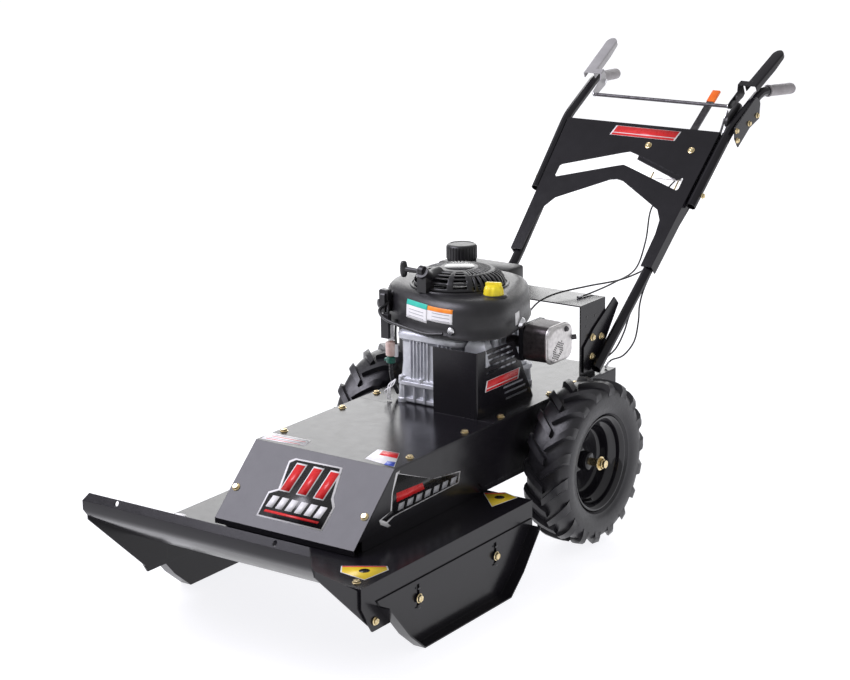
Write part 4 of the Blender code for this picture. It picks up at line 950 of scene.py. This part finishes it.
def shield():
    """The bent guard with rows of louvre slots in its side."""
    low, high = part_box("heat_shield")
    thick, side = 0.002, high.x
    bend = 0.004
    turns = [pi / 2 * step / 5 for step in range(6)]
    corner = [(side - bend * (1 - sin(a)), low.y + bend * (1 - cos(a))) for a in turns]
    front_run = [(low.x, low.y)] + corner
    side_outline = [(corner[-1][1], low.z), (-0.0215, low.z), (-0.105, 0.505), (corner[-1][1], 0.511)]
    bm = bmesh.new()
    rings = []
    tight = bend - thick
    inner_corner = [(side - bend + tight * sin(a), low.y + bend - tight * cos(a)) for a in turns]
    inner_run = [(low.x, low.y + thick)] + inner_corner
    for (x, y), (ix, iy) in zip(front_run, inner_run):
        rings.append(
            [Vector((x, y, low.z)), Vector((x, y, high.z)), Vector((ix, iy, high.z)), Vector((ix, iy, low.z))]
        )
    ends = [Vector((side, y, z)) for y, z in (side_outline[1], side_outline[2])]
    rings.append([ends[0], ends[1], ends[1] - Vector((thick, 0, 0)), ends[0] - Vector((thick, 0, 0))])
    add_rings(bm, rings)
    piece = finish_piece("louvred_shield", bm, "black_paint", replaced=("heat_shield",), angle=40)
    cuts = bmesh.new()
    slots = [
        (0.497, -0.222, -0.118), (0.483, -0.222, -0.112), (0.468, -0.222, -0.104), (0.453, -0.222, -0.096),
        (0.4, -0.15, -0.066), (0.386, -0.145, -0.055), (0.371, -0.14, -0.047),
    ]
    half = 0.0027
    for z, start, end in slots:
        outline = [
            (start + half * cos(a), z + half * sin(a)) for a in (pi / 2 + pi * s / 6 for s in range(7))
        ]
        outline += [
            (end + half * cos(a), z + half * sin(a)) for a in (-pi / 2 + pi * s / 6 for s in range(7))
        ]
        add_rings(cuts, [[Vector((x, y, w)) for y, w in outline] for x in (side - 0.008, side + 0.004)])
    subtract(piece, cuts, "black_paint")


def fuel_line():
    """The in-line fuel filter with its hoses, clips and plug at the engine's left front corner."""
    x, y = -0.133, -0.22
    bm = bmesh.new()
    add_turned(
        bm, (x, y, 0.452), UP,
        [(0.006, 0), (0.0125, 0.004), (0.013, 0.03), (0.0125, 0.036), (0.006, 0.04)], 24,
    )
    finish_piece("fuel_filter", bm, "filter_shell")
    bm = bmesh.new()
    add_turned(
        bm, (x, y, 0.4475), UP, [(0.0095, -0.012), (0.0115, -0.01), (0.0115, 0.002), (0.009, 0.004)], 20,
    )
    add_box(bm, (x - 0.016, y - 0.006, 0.44), (x - 0.009, y + 0.006, 0.447), 0.001)
    finish_piece("hose_clip", bm, "green_clamp")
    bm = bmesh.new()
    add_turned(
        bm, (x + 0.002, y, 0.494), UP, [(0.0075, 0), (0.0085, 0.002), (0.0085, 0.007), (0.0065, 0.009)],
        20,
    )
    add_box(bm, (x - 0.012, y - 0.007, 0.503), (x + 0.006, y + 0.006, 0.533), 0.0015)
    add_turned(
        bm, (x + 0.013, y + 0.004, 0.452), UP,
        [(0.0045, 0), (0.0055, 0.002), (0.0055, 0.03), (0.004, 0.032)], 16,
    )
    finish_piece("wire_plug", bm, "white_vinyl")
    bm = bmesh.new()
    down = [(x, y, 0.44), (x, y - 0.001, 0.415), (x + 0.004, y + 0.003, 0.385), (x + 0.014, y + 0.01, 0.358)]
    add_hose(bm, down, 0.005)
    back = [(x - 0.01, y + 0.002, 0.533), (x - 0.014, y + 0.01, 0.56), (x - 0.024, y + 0.028, 0.59)]
    add_hose(bm, back + [(-0.15, -0.18, 0.604)], 0.0042)
    lead = [(x + 0.014, y + 0.003, 0.484), (x + 0.012, y + 0.004, 0.51), (x + 0.01, y + 0.01, 0.545)]
    add_hose(bm, lead, 0.0032, 10)
    loop = [
        (x - 0.02, y + 0.02, 0.58), (x - 0.026, y - 0.008, 0.566), (x + 0.01, y - 0.03, 0.552),
        (-0.06, -0.262, 0.545), (0.01, -0.272, 0.541), (0.055, -0.268, 0.546),
    ]
    add_hose(bm, loop, 0.0042, spacing=0.008)
    finish_piece("fuel_hoses", bm, "cable_jacket")
    bm = bmesh.new()
    add_box(bm, (-0.168, -0.214, 0.556), (-0.154, -0.18, 0.604), 0.003)
    add_box(bm, (-0.176, -0.206, 0.586), (-0.15, -0.19, 0.612), 0.003)
    add_turned(
        bm, (-0.178, -0.2, 0.575), (-0.6, -0.8, 0), [(0.011, -0.004), (0.011, 0.004), (0.006, 0.006)],
        18,
    )
    add_box(bm, (-0.15, -0.236, 0.5), (-0.128, -0.222, 0.56), 0.002)
    finish_piece("choke_bracket", bm, "black_plastic")
    bm = bmesh.new()
    for start, end in ((0.0, 0.01), (0.006, -0.006), (-0.006, 0.004)):
        route = [
            (-0.118 + start, -0.248, 0.352), (-0.124 + end, -0.252, 0.372), (-0.116 + start, -0.246, 0.388),
            (-0.108, -0.236, 0.402),
        ]
        add_hose(bm, route, 0.0016, 8)
    finish_piece("starter_wires", bm, "white_vinyl")


def shroud_hardware():
    """The shroud's screw, the silver breather beside the muffler, and the block's corner boss."""
    bm = bmesh.new()
    add_turned(
        bm, (0.071, -0.257, 0.553), (0.22, -0.97, 0),
        [(0.0085, 0), (0.0085, 0.002), (0.0065, 0.004), (0.001, 0.0045)], 24,
    )
    add_turned(
        bm, (0.1545, -0.083, 0.546), (0.96, 0.26, -0.3),
        [(0.015, 0), (0.0125, 0.006), (0.007, 0.01), (0.001, 0.011)], 24,
    )
    finish_piece("shroud_screws", bm, "clear_zinc")
    bm = bmesh.new()
    boss = [(0.092, -0.228), (0.15, -0.228), (0.142, -0.19), (0.1, -0.185)]
    rings = []
    for height, share in ((0.47, 1.15), (0.512, 1.0), (0.528, 0.72), (0.53, 0.6)):
        rings.append(
            [Vector((0.121 + (px - 0.121) * share, -0.208 + (py + 0.208) * share, height)) for px, py in boss]
        )
    add_rings(bm, rings)
    finish_piece("spark_plug_boss", bm, "cast_aluminium")


# Handle


def grips():
    """Soft grips with a flared inner end, fine ribs and a rounded cap."""
    for name, side in SIDES:
        start = Vector((side * 0.2636, 0.986, 0.97655))
        end = Vector((side * 0.2798, 1.106, 0.97009))
        length = (end - start).length
        bm = bmesh.new()
        profile = [(0.0138, 0), (0.0162, 0.0006), (0.0168, 0.003), (0.016, 0.006)]
        rows = 34
        for row in range(rows):
            share = row / (rows - 1)
            height = 0.008 + share * (length - 0.02)
            profile.append((0.0153 + (0.0003 if row % 2 else -0.0002), height))
        profile += [
            (0.0152, length - 0.007), (0.014, length - 0.003), (0.011, length - 0.0008), (0.002, length),
        ]
        add_turned(bm, start, end - start, profile, 36)
        finish_piece("soft_grip_" + name, bm, "grip_rubber", replaced=("grip_" + name,), angle=50)


def lever_pins():
    """The operator levers' pivot pins and the cross rod's clips."""
    bm = bmesh.new()
    pin = [(0.0065, 0), (0.0065, 0.003), (0.0045, 0.0045)]
    clip = [(0.0075, 0), (0.0075, 0.0012), (0.0052, 0.0016)]
    for side in (1, -1):
        add_turned(bm, (side * 0.2105, 0.9235, 0.975), (-side, 0, 0), pin, 20)
        add_turned(bm, (side * 0.21, 0.8645, 0.946), (-side, 0, 0), clip, 20)
    finish_piece("lever_pins", bm, "clear_zinc", body="levers")


def stadium(centre, along, half_length, radius, steps=12):
    """A round-ended bar's outline, turned to lie along a direction."""
    outline = []
    for end, way in ((centre + along * half_length, along), (centre - along * half_length, -along)):
        across = Vector((-way.y, way.x))
        for step in range(steps + 1):
            angle = pi * step / steps
            outline.append(end + (way * sin(angle) - across * cos(angle)) * radius)
    return outline


def throttle_housing():
    """A moulded housing with rounded edges, a raised cover and the screw that the lever turns on."""
    low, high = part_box("throttle_quadrant")
    middle = ((low + high) / 2).yz
    along = Vector((0.887, 0.461))
    bm = bmesh.new()
    shell = [(low.x, 0.003), (low.x + 0.001, 0.0008), (low.x + 0.0025, 0)]
    shell += [(high.x - 0.0025, 0), (high.x, 0.0025)]
    cover = [(high.x - 0.001, 0.006), (high.x + 0.0008, 0.006), (high.x + 0.0012, 0.0068)]
    for sections in (shell, cover):
        rings = []
        for x, inset in sections:
            rings.append([Vector((x, *point)) for point in stadium(middle, along, 0.026, 0.021 - inset)])
        add_rings(bm, rings)
    finish_piece("throttle_housing", bm, "black_plastic", replaced=("throttle_quadrant",), angle=40)
    bm = bmesh.new()
    pivot = (low.x - 0.0028, *middle)
    add_turned(bm, pivot, (-1, 0, 0), [(0.006, 0), (0.006, 0.002), (0.0045, 0.003), (0.001, 0.0034)], 18)
    finish_piece("throttle_screw", bm, "clear_zinc", body="throttle_arm")


def channel_section(half, wall, thick, fold, steps=5):
    """The outline of a thin inverted channel with rounded folds, across and up."""
    outer = [(-half, -wall)]
    for side in (-1, 1):
        for step in range(steps + 1):
            angle = pi / 2 * step / steps
            bend = (fold * (1 - cos(angle)), fold * (1 - sin(angle)))
            if side > 0:
                bend = (fold * (1 - sin(angle)), fold * (1 - cos(angle)))
            outer.append((side * (half - bend[0]), -bend[1]))
    outer.append((half, -wall))
    inner = [(x * (1 - thick / half), max(z - thick, -wall)) for x, z in outer[::-1]]
    return outer + inner


def operator_levers():
    """Each lever: a channel with rounded folds and tip over the grip, and an ear down to the cross rod."""
    start = Vector((0.253, 0.904, 1.0))
    along = Vector((0.01, 0.146, 0.075)).normalized()
    across = along.cross(Vector((0, 0, 1))).normalized()
    up = across.cross(along)
    half, wall, thick, length = 0.0172, 0.019, 0.002, 0.1755
    inset, ear_thick = 0.0395, 0.003
    ear = [
        (0.001, 0), (0.019, 0), (0.02, -0.02), (0.018, -0.041), (0.006, -0.045), (-0.056, -0.04),
        (-0.064, -0.036), (-0.067, -0.03), (-0.065, -0.022), (-0.058, -0.019), (-0.01, -0.016),
    ]
    web = [(-inset, 0.0005), (0.0, 0.0005), (0.0, 0.0195), (-inset, 0.0195)]
    for name, side in SIDES:

        def world(x, y, z):
            point = start + across * x + along * y + up * z
            return Vector((side * point.x, point.y, point.z))

        bm = bmesh.new()
        rings = []
        for share in (0, 0.01, 0.3, 0.6, 0.88, 0.91, 0.94, 0.965, 0.982, 0.993, 0.999):
            into_tip = max(0, share - 0.88) / 0.12
            narrow = sqrt(1 - into_tip**2)
            depth = wall * (0.55 + 0.45 * min(1, (1 - share) / 0.25)) * narrow
            section = channel_section(
                half * max(narrow, 0.12), max(depth, 0.0045), thick, 0.0042 * max(narrow, 0.3),
            )
            rings.append([world(x, share * length, z - 0.0012 * into_tip) for x, z in section])
        add_rings(bm, rings)
        add_rings(bm, [[world(x, y, z) for x, y in web] for z in (-ear_thick, -0.0002)])
        add_rings(bm, [[world(x, y, z) for y, z in ear] for x in (-inset, ear_thick - inset)])
        # The far lever takes the pale grey as a painted highlight for the light that strikes it; both levers
        # are black paint.
        finish = "black_paint" if side > 0 else "satin_grey"
        finish_piece(
            "lever_" + name, bm, finish, body="levers",
            replaced=("operator_lever_" + name,), angle=40,
        )


def shift_linkage():
    """The folded lower edge of the gear bracket and the pins that show through the panel's slot; the fold is
    pale galvanised as a painted highlight for the light on its upturned face, while the bracket is black
    paint.
    """
    bm = bmesh.new()
    run = [panel_point(0.094, 0.15, -0.024), panel_point(0.172, 0.15, -0.024)]
    add_tube(bm, run, 0.0045, 6)
    # Painted highlight: the pale fold stands in for light on the black bracket's upturned edge.
    finish_piece("bracket_fold_highlight", bm, "galvanised")
    bm = bmesh.new()
    for x, start, end in ((0.08, 0.132, 0.165), (0.163, 0.14, 0.2)):
        add_tube(bm, [panel_point(x, start, -0.028), panel_point(x - 0.002, end, -0.03)], 0.0022, 10)
    finish_piece("bracket_pins", bm, "zinc")


CABLES = {
    "throttle_cable": [
        (0.2325, 0.807, 0.9), (0.229, 0.793, 0.878), (0.224, 0.775, 0.845),
        (0.22, 0.715, 0.77), (0.212, 0.64, 0.7), (0.19, 0.545, 0.603),
        (0.178, 0.5, 0.572), (0.155, 0.4, 0.556), (0.12, 0.29, 0.556),
        (0.085, 0.2, 0.552), (0.066, 0.14, 0.54), (0.054, 0.1, 0.513),
        (0.05, 0.0625, 0.505),
    ],
    "blade_cable": [
        (0.218, 0.842, 0.938), (0.218, 0.827, 0.917), (0.218, 0.808, 0.885),
        (0.216, 0.785, 0.85), (0.2128, 0.715, 0.7885), (0.203, 0.566, 0.6475),
        (0.1975, 0.455, 0.545), (0.201, 0.412, 0.495), (0.203, 0.402, 0.45),
        (0.201, 0.385, 0.4), (0.192, 0.345, 0.37), (0.182, 0.3, 0.3665),
        (0.179, 0.278, 0.3525),
    ],
    "drive_cable": [
        (0.2045, 0.86, 0.93), (0.2045, 0.8486, 0.91), (0.2045, 0.825, 0.8766),
        (0.202, 0.785, 0.845), (0.2, 0.715, 0.78), (0.193, 0.566, 0.638),
        (0.189, 0.43, 0.52), (0.189, 0.38, 0.47), (0.188, 0.355, 0.43),
        (0.184, 0.318, 0.392), (0.171, 0.275, 0.369), (0.167, 0.26, 0.353),
    ],
    "shift_cable": [
        (0.132, 0.728, 0.764), (0.128, 0.66, 0.735), (0.124, 0.6, 0.7),
        (0.126, 0.57, 0.62), (0.136, 0.5, 0.56), (0.14, 0.38, 0.548),
        (0.135, 0.27, 0.5425), (0.13, 0.22, 0.542),
    ],
}
CABLE_DIAMETER = 0.0045


def cables():
    """The control cables, each a smooth sheathed run with a crimped ferrule at both ends."""
    for name, route in CABLES.items():
        points = smooth_path(route, 0.012)
        curve = bpy.data.curves.new(name + "_sheath", "CURVE")
        curve.dimensions = "3D"
        curve.bevel_depth = CABLE_DIAMETER / 2
        curve.bevel_resolution = 3
        curve.use_fill_caps = True
        line = curve.splines.new("POLY")
        line.points.add(len(points) - 1)
        for spot, point in zip(line.points, points):
            spot.co = (*point, 1)
        line.use_smooth = True
        piece = bpy.data.objects.new(name + "_sheath", curve)
        bpy.context.scene.collection.objects.link(piece)
        curve.materials.append(FINISH["cable_jacket"])
        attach(piece, "machine")
        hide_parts(name)
        bm = bmesh.new()
        for at, toward in ((points[0], points[1]), (points[-1], points[-2])):
            add_turned(bm, at, toward - at, [(0.0034, 0.0), (0.0034, 0.014), (0.0028, 0.018)], 14)
        ferrules = finish_piece(name + "_ferrules", bm, "clear_zinc")


# Decals


FILM_LIFT, FILM_STEP = 0.00025, 0.00012
OVERPRINT = 0.0003


def on_shield(y, z, lift):
    return Vector((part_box("heat_shield")[1].x + lift, y, z))


def on_side(y, z, lift):
    return Vector((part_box("belt_cover")[1].x + lift, y, z))


def on_deck(x, y, lift):
    return Vector((x, y, DECK_TOP + lift))


def on_cover(x, y, lift):
    return Vector((x, y, COVER_TOP + lift))


def decal(name, layers, place, above=0.0, curved=False):
    """Stacked flat prints, each (finish, outline); place maps a point and a lift into the frame."""
    for level, (finish, outline) in enumerate(layers):
        lift = FILM_LIFT + FILM_STEP * level + above
        bm = bmesh.new()
        if curved:
            (left, bottom), (right, top) = outline
            columns, rows = 14, 6
            grid = []
            for row in range(rows + 1):
                v = bottom + (top - bottom) * row / rows
                across = [left + (right - left) * column / columns for column in range(columns + 1)]
                grid.append([bm.verts.new(place(u, v, lift)) for u in across])
            for low, high in zip(grid, grid[1:]):
                for i in range(columns):
                    bm.faces.new((low[i], low[i + 1], high[i + 1], high[i]))
        else:
            bm.faces.new([bm.verts.new(place(u, v, lift)) for u, v in outline])
            bmesh.ops.triangulate(bm, faces=bm.faces)
        piece = finish_piece(f"{name}_{level}", bm, finish)
        thick = piece.modifiers.new("film", "SOLIDIFY")
        thick.thickness = 0.0001
        thick.offset = 0


def grown(outline, margin):
    """An outline moved outwards from its middle."""
    middle = sum((Vector(point) for point in outline), Vector((0, 0))) / len(outline)
    found = []
    for point in outline:
        away = Vector(point) - middle
        found.append(tuple(Vector(point) + away.normalized() * margin))
    return found


def slanted(left, right, top, bottom, lean):
    """A parallelogram: its top edge is moved along by the lean."""
    return [(left, bottom), (right, bottom), (right + lean, top), (left + lean, top)]


def badge(left, right, top, bottom, lean):
    """A white-edged red bar with a thin stripe, in place of any name."""
    inner = slanted(left, right, top, bottom, lean)
    height = bottom - top
    stripe = bottom - height * 0.3
    shift = lean * 0.28
    thin = slanted(left + shift, right + shift, stripe, stripe + height * 0.07, lean * 0.07)
    return [("white_vinyl", grown(inner, 0.0045)), ("red_vinyl", inner), ("white_vinyl", thin)]


def front_emblem():
    """A shield shape with three slanted bars, a row of blocks and a thin bar."""
    edge = [
        (-0.092, 0.183), (-0.092, 0.12), (-0.07, 0.108), (-0.08, 0.036), (-0.066, 0.026), (0.066, 0.024),
        (0.082, 0.1), (0.097, 0.12), (0.094, 0.183),
    ]
    field = [
        (-0.088, 0.179), (-0.088, 0.124), (-0.064, 0.11), (-0.075, 0.04), (-0.062, 0.03), (0.061, 0.028),
        (0.077, 0.104), (0.092, 0.124), (0.09, 0.179),
    ]
    decal("front_emblem", [("white_vinyl", edge), ("black_vinyl", field)], slope_point)
    top, bottom, lean = 0.036, 0.112, 0.01
    bars = []
    for start in (-0.066, -0.018, 0.03):
        bars.append(("white_vinyl", slanted(start, start + 0.03, top, bottom, lean)))
        inner = slanted(start + 0.003, start + 0.027, top + 0.004, bottom - 0.003, lean * 0.92)
        bars.append(("red_vinyl", inner))
    for number in range(6):
        x = -0.08 + number * 0.027
        bars.append(("white_vinyl", slanted(x, x + 0.019, 0.126, 0.156, 0.006)))
    bars.append(("red_vinyl", slanted(-0.078, 0.074, 0.163, 0.169, 0.002)))
    for number, bar in enumerate(bars):
        above = 0.0006 if bar[0] == "red_vinyl" else OVERPRINT
        decal(f"front_bar_{number}", [bar], slope_point, above)


def name_bars():
    """Plain bars on the handle panel and the heat shield."""
    decal("panel_badge", badge(-0.08, 0.112, 0.012, 0.043, 0.008), panel_point)
    decal("shield_badge", badge(-0.228, -0.092, 0.434, 0.409, 0.008), on_shield)


def deck_stickers():
    """Two yellow stickers on the deck with a dark disc and a red band, and a small white oval."""
    front = [(0.206, -0.867), (0.285, -0.816), (0.3, -0.832), (0.292, -0.903), (0.226, -0.895)]
    rear = [(0.2, -0.312), (0.238, -0.283), (0.28, -0.296), (0.266, -0.378)]
    for name, outline in (("front", front), ("rear", rear)):
        middle = sum((Vector(point) for point in outline), Vector((0, 0))) / len(outline)
        mark = [tuple(middle + Vector(point)) for point in ellipse(0.012, 0.012, 16)]
        layers = [("white_vinyl", grown(outline, 0.003)), ("yellow_vinyl", outline), ("black_vinyl", mark)]
        decal(f"deck_sticker_{name}", layers, on_deck)
        first, second = Vector(outline[0]), Vector(outline[1])
        inward = (middle - (first + second) / 2) * 0.2
        band = [tuple(first), tuple(second), tuple(second + inward), tuple(first + inward)]
        decal(f"deck_sticker_{name}_band", [("red_vinyl", band)], on_deck, OVERPRINT)
    decal("deck_oval", [("white_vinyl", ellipse(0.016, 0.01, 20, (-0.3, -0.815)))], on_deck)


def cover_labels():
    """Two labels on the belt cover, with plain lines and blocks for their print."""
    pale = [(-0.188, -0.653), (-0.068, -0.642), (-0.083, -0.601), (-0.201, -0.605)]
    decal("cover_label_far", [("white_vinyl", pale)], on_cover)
    for row in range(4):
        y = -0.645 + row * 0.01
        line = [(-0.18, y), (-0.085, y + 0.006), (-0.086, y + 0.009), (-0.181, y + 0.003)]
        finish = "grey_vinyl" if row % 2 else "red_vinyl"
        decal(f"cover_label_far_line_{row}", [(finish, line)], on_cover, OVERPRINT)
    near = [("white_vinyl", [(0.1, -0.64), (0.19, -0.652), (0.142, -0.566), (0.084, -0.57)])]
    near.append(("red_vinyl", [(0.11, -0.6), (0.16, -0.6), (0.142, -0.568), (0.1, -0.572)]))
    near.append(("blue_vinyl", [(0.16, -0.65), (0.187, -0.65), (0.172, -0.622), (0.152, -0.625)]))
    decal("cover_label_near", near, on_cover)


def side_stripe():
    """A pointed stripe along the chassis with a red bar and a row of grey blocks."""
    edge = [
        (-0.72, 0.247), (-0.716, 0.236), (-0.69, 0.222), (-0.678, 0.222), (-0.69, 0.232), (-0.664, 0.24),
        (-0.412, 0.245), (-0.405, 0.272), (-0.556, 0.291), (-0.66, 0.296), (-0.64, 0.34), (-0.655, 0.338),
        (-0.672, 0.296), (-0.678, 0.255),
    ]
    decal("side_stripe", [("white_vinyl", edge)], on_side)
    field = [
        (-0.712, 0.246), (-0.694, 0.236), (-0.668, 0.2425), (-0.416, 0.2475), (-0.4095, 0.2695),
        (-0.556, 0.2885), (-0.658, 0.293), (-0.648, 0.334), (-0.668, 0.296), (-0.674, 0.256),
    ]
    decal("side_stripe_dark", [("black_vinyl", field)], on_side, OVERPRINT / 2)
    red = [(-0.655, 0.27), (-0.548, 0.27), (-0.556, 0.287), (-0.655, 0.2915)]
    decal("side_stripe_red", [("red_vinyl", red)], on_side, OVERPRINT)
    for bar in range(7):
        y = -0.652 + bar * 0.034
        grey = slanted(y, y + 0.022, 0.264, 0.249, 0.006)
        decal(f"side_stripe_bar_{bar}", [("grey_vinyl", grey)], on_side, OVERPRINT)


def shroud_labels(target):
    """Two plain service labels and a small one, wrapped on the shroud."""
    graph = bpy.context.evaluated_depsgraph_get()
    tree = BVHTree.FromObject(target, graph)

    def wrap(aim):
        way = Vector(aim).normalized()

        def place(across, up, lift):
            start = CRANK.to_3d() + Vector((-way.y, way.x, 0)) * across + way * 0.45
            start.z = up
            hit = tree.ray_cast(start, -way)[0]
            return hit + way * lift

        return place

    front = wrap((0.1, -1.0, 0))
    teal = [("white_vinyl", ((-0.074, 0.56), (0.0, 0.604))), ("teal_vinyl", ((-0.074, 0.592), (0.0, 0.604)))]
    amber = [
        ("white_vinyl", ((0.001, 0.568), (0.076, 0.603))), ("amber_vinyl", ((0.001, 0.593), (0.076, 0.603))),
    ]
    decal("service_label", teal, front, curved=True)
    decal("notice_label", amber, front, curved=True)
    for row in range(3):
        z = 0.566 + row * 0.008
        service = ("grey_vinyl", ((-0.064, z), (-0.012, z + 0.0016)))
        notice = ("grey_vinyl", ((0.016, z + 0.006), (0.068, z + 0.0076)))
        decal(f"service_line_{row}", [service], front, OVERPRINT, curved=True)
        decal(f"notice_line_{row}", [notice], front, OVERPRINT, curved=True)
    side = wrap((1.0, 0.1, 0))
    decal("small_label", [("white_vinyl", ((-0.042, 0.546), (-0.012, 0.576)))], side, curved=True)


# Stage


FLOOR_RADIUS = 40


def stage():
    """A pale floor, an even sky and two soft lights: one above and one wide behind."""
    floor_mesh = bmesh.new()
    edge = ellipse(FLOOR_RADIUS, FLOOR_RADIUS, 64)
    floor_mesh.faces.new([floor_mesh.verts.new((*point, 0)) for point in edge])
    mesh = bpy.data.meshes.new("floor")
    floor_mesh.to_mesh(mesh)
    floor_mesh.free()
    floor = bpy.data.objects.new("floor", mesh)
    bpy.context.scene.collection.objects.link(floor)
    glow = {"Emission_Color": (0.97, 0.97, 1.0, 1), "Emission_Strength": 0.88}
    mesh.materials.append(
        grained("pale_floor", (0.3, 0.3, 0.305), (0.33, 0.33, 0.335), 0.5, (0.65, 0.7), **glow)
    )

    world = bpy.data.worlds.new("studio")
    world.use_nodes = True
    world.node_tree.nodes["Background"].inputs["Color"].default_value = (0.985, 0.985, 1.0, 1)
    world.node_tree.nodes["Background"].inputs["Strength"].default_value = 0.5
    bpy.context.scene.world = world

    def softbox(name, at, aim, width, height, radiance, colour=(1, 1, 1)):
        light = bpy.data.lights.new(name, "AREA")
        light.shape = "RECTANGLE"
        light.size, light.size_y = width, height
        light.energy = radiance * pi * width * height
        light.color = colour
        lamp = bpy.data.objects.new(name, light)
        lamp.location = at
        lamp.rotation_euler = (Vector(aim) - Vector(at)).to_track_quat("-Z", "Y").to_euler()
        bpy.context.scene.collection.objects.link(lamp)

    softbox("overhead", (-2.2, -2.0, 3.3), (0, -0.4, 0.4), 2.4, 2.4, 8.5, (0.9, 0.88, 1.0))
    softbox("rear_wall", (-2.6, 4.6, 1.9), (0, 0, 0.4), 6.5, 2.4, 2.6)
    bpy.context.scene.view_settings.view_transform = "Standard"


def camera():
    """The view: a long lens from the machine's front left, a little above it."""
    azimuth, pitch, roll = radians(34.536), radians(15.172), radians(-0.515)
    forward = Vector((-sin(azimuth) * cos(pitch), cos(azimuth) * cos(pitch), -sin(pitch)))
    right = Vector((cos(azimuth), sin(azimuth), 0))
    up = right.cross(forward)
    across = right * cos(roll) + up * sin(roll)
    above = up * cos(roll) - right * sin(roll)
    data = bpy.data.cameras.new("camera")
    data.sensor_width = 36
    data.lens = 89.72
    data.shift_x, data.shift_y = -0.0402, -0.0024
    lens = bpy.data.objects.new("camera", data)
    axes = (across, above, -forward)
    turn = Matrix([[axis[row] for axis in axes] for row in range(3)]).to_4x4()
    lens.matrix_world = Matrix.Translation((2.8186, -4.2151, 1.8429)) @ turn
    bpy.context.scene.collection.objects.link(lens)
    bpy.context.scene.camera = lens


camera()
stage()
dress_nodes()
cables()
bolts()
painted_slot_shade()
for side_name, side_sign in SIDES:
    tyre(side_name, side_sign)
    rim(side_name, side_sign)
    axle_nut(side_name, side_sign)
shroud_piece = shroud()
dome()
dome_badge()
rope_guide()
fan()
pull_handle()
fuel_cap()
oil_cap()
block_casting()
sump_casting()
muffler()
muffler_fixings()
shield()
fuel_line()
shroud_hardware()
grips()
lever_pins()
throttle_housing()
operator_levers()
shift_linkage()
front_emblem()
name_bars()
deck_stickers()
cover_labels()
side_stripe()
shroud_labels(shroud_piece)
